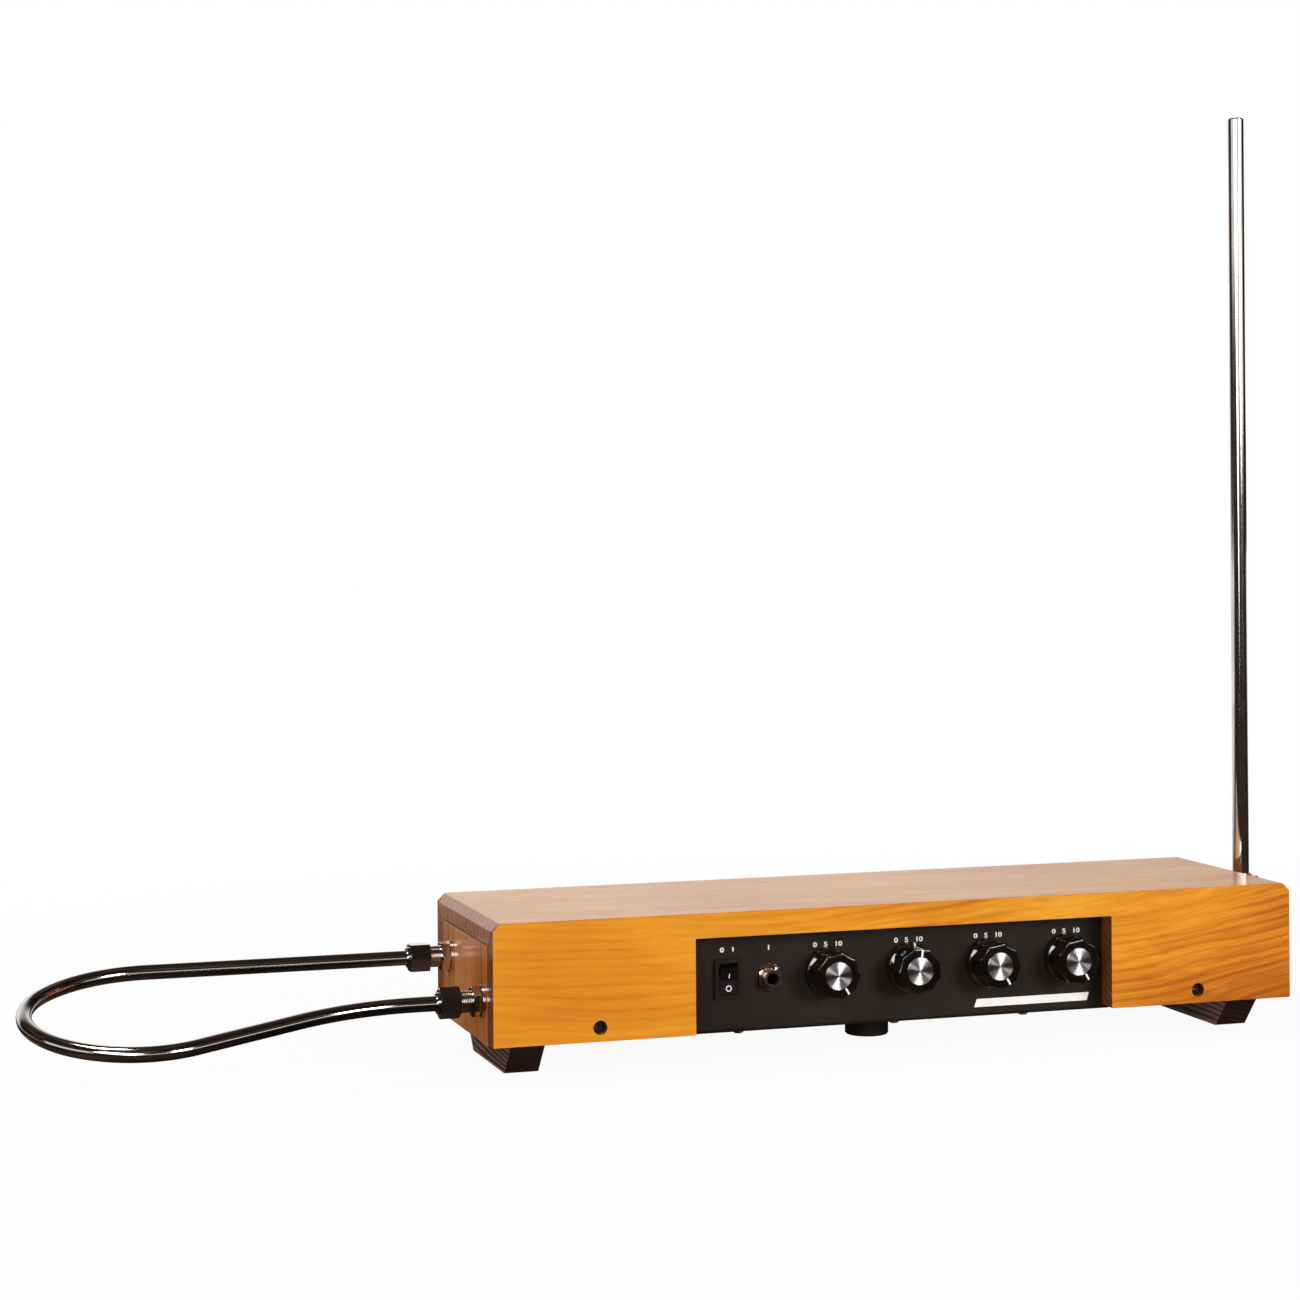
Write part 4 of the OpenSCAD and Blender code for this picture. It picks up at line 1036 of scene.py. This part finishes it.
@dataclass
class Controls:
    """The four knobs with their inlays, shafts and painted pointers."""

    xs_mm: tuple[float, ...] = (-40.5, 6.0, 52.5, 99.0)
    names: tuple[str, ...] = ("volume", "pitch", "waveform", "brightness")
    turns_deg: tuple[float, ...] = (150, 7, 150, 150)
    z_mm: float = 43.6
    panel_y_mm: float = -47.2
    gap_mm: float = 0.8
    height_mm: float = 16
    skirt_mm: float = 13.5
    skirt_h_mm: float = 5.4
    rim_mm: float = 1.21
    rim_z_mm: float = 3.2
    slope_mm: float = 8.0
    slope_deg: float = 54
    slope_step_deg: float = 3.3
    grip_mm: float = 12.4
    scallop_mm: float = 0.9
    scallops: int = 9
    ridge_deg: float = 1.5
    edge_mm: float = 0.5
    cap_mm: float = 7.4
    hollow_mm: tuple[float, float] = (9.9, 5.3)
    bore_mm: tuple[float, float] = (3.05, 13.0)
    line_w_mm: float = 1.05

    def place(self, index: int) -> Matrix:
        """Give the turn from a knob's own +Z frame to its place on the panel."""
        return (
            Matrix.Translation(Vector((self.xs_mm[index], self.panel_y_mm, self.z_mm)) * MM)
            @ Matrix.Rotation(math.pi / 2, 4, "X")
            @ Matrix.Translation((0, 0, self.gap_mm * MM))
            @ Matrix.Rotation(-math.radians(self.turns_deg[index]), 4, "Z")
        )

    def grip_at(self, angle: float) -> float:
        """Give the scalloped grip's radius in mm at an angle from a scallop's middle."""
        half = math.radians(180 / self.scallops - self.ridge_deg)
        bulge = self.scallop_mm - self.grip_mm * (1 - math.cos(half))
        cut = (bulge**2 + (self.grip_mm * math.sin(half)) ** 2) / (2 * bulge)
        away = self.grip_mm - self.scallop_mm + cut
        step = 2 * math.pi / self.scallops
        angle = (angle + step / 2) % step - step / 2
        under = cut**2 - (away * math.sin(angle)) ** 2
        return min(self.grip_mm, away * math.cos(angle) - math.sqrt(max(under, 0)))

    def slope_centre(self) -> tuple[float, float]:
        """Give the radius and height in mm that the skirt's sloped top curves round."""
        turn, inward = math.radians(self.slope_deg), self.rim_mm - self.slope_mm
        return (
            self.skirt_mm - self.rim_mm + inward * math.cos(turn),
            self.rim_z_mm + inward * math.sin(turn),
        )

    def skirt_line(self, proud: float) -> list[tuple[float, float]]:
        """List radius and height in mm up the skirt's round rim and sloped top.

        Args:
            proud: How far in mm the line stands off the skirt.

        Returns:
            The points, from the rim inwards.
        """
        rim = (self.skirt_mm - self.rim_mm, self.rim_z_mm)
        arcs = [(rim, self.rim_mm, self.slope_deg * step / 6) for step in range(7)]
        for step in range(1, 5):
            turn = self.slope_deg + self.slope_step_deg * step
            arcs.append((self.slope_centre(), self.slope_mm, turn))
        return [
            (
                middle[0] + (reach + proud) * math.cos(math.radians(turn)),
                middle[1] + (reach + proud) * math.sin(math.radians(turn)),
            )
            for middle, reach, turn in arcs
        ]

    def skirt_top(self, radius: float) -> float:
        """Give the height in mm of the skirt's top at a radius in mm."""
        rim = self.skirt_mm - self.rim_mm
        if radius > rim + self.rim_mm * math.cos(math.radians(self.slope_deg)):
            return self.rim_z_mm + math.sqrt(max(self.rim_mm**2 - (radius - rim) ** 2, 0))
        middle = self.slope_centre()
        return middle[1] + math.sqrt(self.slope_mm**2 - (radius - middle[0]) ** 2)

    def moulding(self, index: int) -> BMesh:
        """Spin a knob's outline and press the scallops into its grip.

        Args:
            index: The knob's number.

        Returns:
            The knob's mesh in its place, hollow at the back.
        """
        seat = self.height_mm - 0.85
        quarter = [math.radians(90 * step / 4) for step in range(5)]
        outline = [
            (0, self.bore_mm[1]),
            self.bore_mm,
            (self.bore_mm[0], self.hollow_mm[1]),
            self.hollow_mm,
            (self.hollow_mm[0], 0),
            (self.skirt_mm - 0.3, 0),
            (self.skirt_mm, 0.3),
        ]
        edge = [
            (
                self.grip_mm - self.edge_mm * (1 - math.cos(turn)),
                self.height_mm - self.edge_mm * (1 - math.sin(turn)),
            )
            for turn in quarter
        ]
        outline += self.skirt_line(0) + [(self.grip_mm, self.skirt_h_mm)] + edge
        lip, wall = self.cap_mm + 0.2, self.cap_mm + 0.05
        outline += [(lip, self.height_mm), (wall, self.height_mm - 0.15), (wall, seat), (0, seat)]
        bm = turned(outline, Matrix.Identity(4), 216)
        for vert in bm.verts:
            radius = math.hypot(vert.co.x, vert.co.y) / MM
            if radius < self.hollow_mm[0] + 0.5 or vert.co.z < self.rim_z_mm * MM:
                continue
            grip = self.grip_at(math.atan2(vert.co.y, vert.co.x) - math.pi / 2)
            height = vert.co.z / MM
            if height > self.skirt_h_mm - 0.01:
                wanted = radius - (self.grip_mm - grip)
            else:
                wanted = max(radius, grip)
            if height < self.skirt_h_mm + 0.01:
                vert.co.z = self.skirt_top(wanted) * MM
            vert.co.x *= wanted / radius
            vert.co.y *= wanted / radius
        bmesh.ops.remove_doubles(bm, verts=bm.verts, dist=0.004 * MM)
        bmesh.ops.recalc_face_normals(bm, faces=bm.faces)
        bmesh.ops.transform(bm, matrix=self.place(index), verts=bm.verts)
        return bm

    def build(self, plastic: Material, paint: Material, steel: Material) -> None:
        """Dress the knobs and add the paint in their grooves.

        Args:
            plastic: The knobs' material.
            paint: The pointers' paint.
            steel: The shafts' material.
        """
        for index, name in enumerate(self.names):
            body = name + "_control"
            knob = finish_mesh(self.moulding(index), name + "_knob_moulded", body, 40)
            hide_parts(name + "_knob")
            dress(knob, plastic)
            low, high, cap = self.height_mm - 0.8, self.height_mm, self.cap_mm
            outline = [(0, low), (cap, low), (cap, high - 0.2), (cap - 0.2, high), (0, high)]
            disc = turned(outline, self.place(index), 96)
            inlay = finish_mesh(disc, name + "_inlay_turned", body, 30)
            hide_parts(name + "_inlay")
            centre = (self.xs_mm[index], self.panel_y_mm, self.z_mm)
            dress(inlay, FaceTurned(name + "_faced_aluminium", centre).make())
            dress(frame["nodes"][name + "_shaft"], steel)
            self.pointer(index, name, body, paint)
            log.info("%s control", name)

    def pointer(self, index: int, name: str, body: str, paint: Material) -> None:
        """Paint one knob's line over its skirt, grip and face.

        Args:
            index: The knob's number.
            name: The control's name.
            body: The body that carries it.
            paint: The paint's material.
        """
        proud = 0.04
        valley = self.grip_mm - self.scallop_mm
        outline = [(self.skirt_mm + proud, 1.25)] + self.skirt_line(proud)[:-1]
        for step in range(5):
            angle = math.radians(90 * step / 4)
            reach = self.edge_mm + proud
            outline.append(
                (
                    valley - self.edge_mm + reach * math.cos(angle),
                    self.height_mm - self.edge_mm + reach * math.sin(angle),
                )
            )
        outline.append((self.cap_mm + 0.3, self.height_mm + proud))
        half = self.line_w_mm / 2
        bm = bmesh.new()
        row = [bm.verts.new((-half * MM, r * MM, z * MM)) for r, z in outline]
        edges = [bm.edges.new(pair) for pair in zip(row, row[1:])]
        made = bmesh.ops.extrude_edge_only(bm, edges=edges)["geom"]
        verts = only(made, BMVert)
        bmesh.ops.translate(bm, verts=verts, vec=(2 * half * MM, 0, 0))
        bmesh.ops.recalc_face_normals(bm, faces=bm.faces)
        bmesh.ops.transform(bm, matrix=self.place(index), verts=bm.verts)
        strip = finish_mesh(bm, name + "_pointer_paint", body, 50)
        skin = strip.modifiers.new("paint_film", "SOLIDIFY")
        skin.thickness = 0.07 * MM
        skin.offset = 0
        dress(strip, paint)


@dataclass
class Panel:
    """The control panel, its plain numbers and the slanted bar."""

    face_y_mm: float = -47.2
    label_z_mm: float = 58.3
    digit_h_mm: float = 2.5
    digit_bold_mm: float = 0.09
    digit_wide: float = 1.3
    film_mm: float = 0.05
    lift_mm: float = 0.01
    bar_mm: tuple[tuple[float, float], ...] = (
        (44.2, 19.4),
        (45.7, 23.8),
        (112.6, 23.8),
        (111.3, 19.4),
    )
    labels: tuple[tuple[str, float], ...] = (
        ("0   1", -97.1),
        ("1", -74.0),
        ("0   5   10", -40.5),
        ("0   5   10", 6.0),
        ("0   5   10", 52.5),
        ("0   5   10", 99.0),
    )

    def build(self, coat: Material, ink: Material) -> None:
        """Dress the panel and print on it.

        Args:
            coat: The powder coat.
            ink: The white print.
        """
        dress(frame["nodes"]["control_panel"], coat)
        for number, (words, x_mm) in enumerate(self.labels):
            self.print_number(number, words, x_mm, ink)
        self.bar(ink)
        log.info("panel printed")

    def print_number(self, number: int, words: str, x_mm: float, ink: Material) -> None:
        """Print one row of plain numbers.

        Args:
            number: The row's number, for its name.
            words: The digits.
            x_mm: The row's middle.
            ink: The print's material.
        """
        curve = bpy.data.curves.new(f"digits_{number}", "FONT")
        curve.body = words
        curve.size = self.digit_h_mm * MM * 1.4
        curve.align_x = "CENTER"
        curve.extrude = self.film_mm * MM / 2
        curve.offset = self.digit_bold_mm * MM
        text = bpy.data.objects.new(f"digits_{number}_text", curve)
        bpy.context.scene.collection.objects.link(text)
        bpy.context.view_layer.update()
        graph = bpy.context.evaluated_depsgraph_get()
        mesh = bpy.data.meshes.new_from_object(text.evaluated_get(graph))
        bpy.data.objects.remove(text)
        y_mm = self.face_y_mm - self.film_mm / 2 - self.lift_mm
        spot = Vector((x_mm, y_mm, self.label_z_mm - self.digit_h_mm / 2)) * MM
        mesh.transform(
            Matrix.Translation(spot)
            @ Matrix.Rotation(math.pi / 2, 4, "X")
            @ Matrix.Diagonal((self.digit_wide, 1, 1, 1))
        )
        bm = bmesh.new()
        bm.from_mesh(mesh)
        bpy.data.meshes.remove(mesh)
        bmesh.ops.remove_doubles(bm, verts=bm.verts, dist=0.001 * MM)
        dress(finish_mesh(bm, f"panel_digits_{number}", "cabinet"), ink)

    def bar(self, ink: Material) -> None:
        """Print the plain slanted bar at the panel's lower right."""
        bm = bmesh.new()
        y_mm = self.face_y_mm - self.lift_mm
        verts = [bm.verts.new((x * MM, y_mm * MM, z * MM)) for x, z in self.bar_mm]
        face = bm.faces.new(verts)
        made = bmesh.ops.extrude_face_region(bm, geom=[face])["geom"]
        moved = only(made, BMVert)
        bmesh.ops.translate(bm, verts=moved, vec=(0, -self.film_mm * MM, 0))
        bmesh.ops.recalc_face_normals(bm, faces=bm.faces)
        dress(finish_mesh(bm, "slanted_bar", "cabinet"), ink)


# ------------------------------------------------------------------ studio and camera


@dataclass(frozen=True)
class Studio:
    """Camera, floor and lights of the photograph's plain white studio."""

    focal_px: float = 2920.2
    frame_px: float = 1300
    azimuth_deg: float = 17.29
    roll_deg: float = -0.4
    horizon_px: float = 490.4
    camera_mm: tuple[float, float, float] = (-593.5, -1510.0, 301.4)
    floor_z: float = -2 * MM
    room: float = 0.39
    # Name, place and size in metres, watts, and the way the height runs
    softboxes: tuple[tuple[Any, ...], ...] = (
        ("key_softbox", (1.13, -2.09, 0.7), (0.85, 0.66), 24, (0.0, 0.0, 1.0)),
        ("left_strip", (-1.03, -1.75, 0.75), (0.8, 1.5), 17, (-1.0, 0.0, 0.65)),
        ("top_softbox", (-0.8, 0.1, 2.2), (0.8, 0.8), 12.5, (0.0, 1.0, 0.0)),
    )

    def camera(self) -> None:
        """Set the camera where the photograph's stood."""
        data = bpy.data.cameras.new("photo_camera")
        data.sensor_width = 36
        data.lens = self.focal_px / self.frame_px * data.sensor_width
        data.shift_y = (self.horizon_px - self.frame_px / 2) / self.frame_px
        camera = bpy.data.objects.new("photo_camera", data)
        azimuth, roll = math.radians(self.azimuth_deg), math.radians(self.roll_deg)
        forward = Vector((math.sin(azimuth), math.cos(azimuth), 0))
        right = Vector((math.cos(azimuth), -math.sin(azimuth), 0))
        up = Vector((0, 0, 1))
        tilted = right * math.cos(roll) + up * math.sin(roll)
        upright = tilted.cross(forward)
        turn = Matrix((tilted, upright, -forward)).transposed().to_4x4()
        camera.matrix_world = Matrix.Translation(Vector(self.camera_mm) * MM) @ turn
        bpy.context.scene.collection.objects.link(camera)
        bpy.context.scene.camera = camera

    @staticmethod
    def rays(tree: NodeTree) -> tuple[Node, NodeSocket]:
        """Tell rays that meet the eye from rays off a shiny surface.

        Args:
            tree: The tree that takes the nodes.

        Returns:
            What is 1 for a ray seen directly, and what is 1 for a reflected one.
        """
        ray = add(tree, "LightPath").outputs
        direct = {0: ray["Is Camera Ray"], 1: ray["Is Transmission Ray"]}
        return add(tree, "Math", direct, operation="MAXIMUM"), ray["Is Glossy Ray"]

    def mirrored(
        self,
        tree: NodeTree,
        place: NodeSocket,
        scale: float,
        white: Node,
    ) -> NodeSocket:
        """Colour what metal sees: the dim brown room, and white where a wall is.

        Args:
            tree: The tree that takes the nodes.
            place: The socket of the point or direction looked at.
            scale: How fine the room's shapes are.
            white: How much of the white wall shows.

        Returns:
            The colour's socket.
        """
        shapes = add(
            tree, "TexNoise", {"Vector": place, "Scale": scale, "Detail": 2}
        ).outputs["Fac"]
        room = add(
            tree,
            "ValToRGB",
            {"Fac": shapes},
            stops=[(0.36, "#130e0c"), (0.5, "#2a201c"), (0.6, "#44352e"), (0.72, "#7a6254")],
        )
        return add(
            tree,
            "Mix",
            {"Factor": white, 6: room, 7: WHITE},
            data_type="RGBA",
        ).outputs[2]

    def floor(self) -> None:
        """Lay a pale floor that runs out into the white background.

        Metal sees it dim round the object and white behind it.
        """
        bm = bmesh.new()
        bmesh.ops.create_circle(bm, cap_ends=True, segments=96, radius=12)
        mesh = bpy.data.meshes.new("studio_floor")
        bmesh.ops.translate(bm, verts=bm.verts, vec=(0, 0, self.floor_z))
        bm.to_mesh(mesh)
        bm.free()
        floor = bpy.data.objects.new("studio_floor", mesh)
        bpy.context.scene.collection.objects.link(floor)
        material = bpy.data.materials.new("pale_floor")
        material.use_nodes = True
        tree = material.node_tree
        tree.nodes.clear()
        diffuse = add(tree, "BsdfDiffuse", {"Color": (0.86, 0.86, 0.86, 1)})
        glow = add(tree, "Emission", {"Color": WHITE, "Strength": 1.0})
        place = add(tree, "TexCoord").outputs["Object"]
        away = add(tree, "VectorMath", {0: place}, operation="LENGTH").outputs["Value"]
        fade = add(
            tree,
            "MapRange",
            {"Value": away, "From Min": 0.3, "From Max": 0.9, "To Min": 0.94},
            interpolation_type="SMOOTHSTEP",
        )
        seen, reflected = self.rays(tree)
        share = add(tree, "Math", {0: fade, 1: seen}, operation="MULTIPLY")
        lit = add(tree, "MixShader", {0: share, 1: diffuse, 2: glow})
        depth = add(tree, "SeparateXYZ", {0: place}).outputs["Y"]
        behind = add(
            tree,
            "MapRange",
            {"Value": depth, "From Min": 0.3, "From Max": 1.2},
            interpolation_type="SMOOTHSTEP",
        )
        mirrored = add(tree, "Emission", {"Color": self.mirrored(tree, place, 5, behind)})
        mixed = add(tree, "MixShader", {0: reflected, 1: lit, 2: mirrored})
        add(tree, "OutputMaterial", {"Surface": mixed})
        mesh.materials.append(material)

    def sky(self) -> None:
        """Light the room evenly and show a white backdrop behind the object.

        Rays off metal see the white backdrop behind the object, white side walls above
        the table's height, and otherwise the dim room in front, which is what gives the
        plating its dark bands.
        """
        world = bpy.data.worlds.new("studio_room")
        world.use_nodes = True
        tree = world.node_tree
        tree.nodes.clear()
        seen, reflected = self.rays(tree)
        direction = add(tree, "TexCoord").outputs["Generated"]
        parts = add(tree, "SeparateXYZ", {0: direction}).outputs
        walled = 0.0
        for wall in WHITE_WALLS:
            white = 1.0
            for axis, start, end in wall:
                edge = add(
                    tree,
                    "MapRange",
                    {"Value": parts[axis], "From Min": start, "From Max": end},
                    interpolation_type="SMOOTHSTEP",
                )
                white = add(tree, "Math", {0: white, 1: edge}, operation="MULTIPLY")
            walled = add(tree, "Math", {0: walled, 1: white}, operation="MAXIMUM")
        room = add(tree, "Background", {"Color": WHITE, "Strength": self.room})
        mirror = add(tree, "Background", {"Color": self.mirrored(tree, direction, 2.2, walled)})
        backdrop = add(tree, "Background", {"Color": WHITE, "Strength": 1.0})
        shown = add(tree, "MixShader", {0: reflected, 1: room, 2: mirror})
        whole = add(tree, "MixShader", {0: seen, 1: shown, 2: backdrop})
        add(tree, "OutputWorld", {"Surface": whole})
        bpy.context.scene.world = world

    def lamp(
        self,
        name: str,
        spot: tuple[float, float, float],
        size: tuple[float, float],
        power: float,
        upright: tuple[float, float, float],
    ) -> None:
        """Hang one softbox that faces the object.

        Args:
            name: The lamp's name.
            spot: Its place in metres.
            size: Its width and height in metres.
            power: Its power in watts.
            upright: The way its height runs.
        """
        data = bpy.data.lights.new(name, "AREA")
        data.shape = "RECTANGLE"
        data.size, data.size_y = size
        data.energy = power
        lamp = bpy.data.objects.new(name, data)
        back = (Vector(spot) - Vector((0.0, 0.0, 0.05))).normalized()
        across = Vector(upright).cross(back).normalized()
        turn = Matrix((across, back.cross(across), back)).transposed().to_4x4()
        lamp.matrix_world = Matrix.Translation(Vector(spot)) @ turn
        bpy.context.scene.collection.objects.link(lamp)

    def build(self) -> None:
        """Set up the whole studio."""
        self.camera()
        self.floor()
        self.sky()
        for softbox in self.softboxes:
            self.lamp(*softbox)
        bpy.context.scene.view_settings.view_transform = "Standard"


# ------------------------------------------------------------------ everything together


def dress_rest(finishes: dict[str, tuple[Material, list[str]]]) -> None:
    """Dress the frame's own nodes that keep their shape.

    Args:
        finishes: For each finish, its material and the nodes that take it.
    """
    for name, (material, nodes) in finishes.items():
        for node in nodes:
            dress(frame["nodes"][node], material)
        log.info("%s on %d nodes", name, len(nodes))


def main() -> None:
    """Build the studio, then every sub-assembly in turn."""
    logging.basicConfig(level=logging.INFO, format="%(name)s: %(message)s")
    Studio().build()
    # Bright plating that mirrors white walls and a dim brown room in hard-edged bands
    nickel = Plated("polished_nickel").make()
    # Duller than the loop, as on the jack and its nut; its warm tint is a painted reflection of
    # the wood round them
    satin = Plated("satin_nickel", "#decab2", "#bfa88c", 0.15, 0.08).make()
    # Grey, with soft highlights
    steel = Plated("zinc_plated_steel", "#b7b5b0", "#9c9a95", 0.28, 0.1).make()
    # Yellow ferrules, seen only in the open fittings
    brass = Plated("turned_brass", "#c9a45a", "#a98440", 0.2, 0.1).make()
    # Nearly black with a grey metal glint
    oxide = Plated("black_oxide_steel", "#6a6562", "#4a4644", 0.22, 0.1).make()
    # Warm black that stays matt beside the glossy knobs
    coat = PowderCoat("black_powder_coat").make()
    # The deepest black, with crisp oval highlights on the skirts
    knob = Moulded(
        "glossy_phenolic", "#080707", "#0d0b0a", 0.07, relief=0.02, gloss=1.0, ior=1.7
    ).make()
    # Soft dark sheen on the rocker's two flats
    switch = Moulded("black_nylon", "#0e0b09", "#15110e", 0.42, 0.3, 0.15, 0.2).make()
    # A shade greyer and grainier, so that the bezel parts from the rocker
    bezel = Moulded("grained_nylon", "#19130f", "#201812", 0.45, 0.3, 0.2, 0.15).make()
    # Flat off-white print and paint
    ink = Moulded("white_ink", "#f6f4f1", "#edeae6", 0.5).make()
    # Inside the cabinet: green board, dull black chips, blue cans, red leads, copper coils
    board = Moulded("solder_resist", "#1d4a28", "#23562f", 0.3).make()
    epoxy = Moulded("chip_epoxy", "#1b1b1c", "#242425", 0.55).make()
    sleeve = Moulded("capacitor_sleeve", "#27305f", "#303a70", 0.25).make()
    lead = Moulded("lead_insulation", "#8c1f1c", "#a12a26", 0.45).make()
    winding = WoundWire("enamelled_winding").make()
    Cabinet().build()
    Loop().build(nickel)
    Fittings().build(nickel, satin, switch)
    Controls().build(knob, ink, steel)
    Panel().build(coat, ink)
    Rocker().build(ink)
    dress_rest(
        {
            "powder coat": (coat, ["stand_flange", "inlet_bracket"]),
            "black oxide": (oxide, ["cover_screws", "foot_screws"]),
            "steel": (steel, ["panel_screws", "flange_screws", "pot_nuts", "board_screws"]),
            "steel inside": (
                steel,
                ["board_standoffs", "tuning_coils", "coil_brackets", "fitting_inner_nuts"],
            ),
            "pots": (steel, ["volume_pot", "pitch_pot", "waveform_pot", "brightness_pot"]),
            "switch plastic": (switch, ["power_rocker", "power_inlet"]),
            "switch bezel": (bezel, ["switch_housing"]),
            "brass": (brass, ["loop_ferrules", "pitch_ferrule"]),
            "board": (board, ["main_board"]),
            "chips": (epoxy, ["board_chips"]),
            "capacitors": (sleeve, ["board_capacitors"]),
            "windings": (winding, ["pitch_coils", "volume_coils"]),
            "leads": (lead, ["antenna_leads"]),
        }
    )


if __name__ == "__main__":
    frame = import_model()
    main()
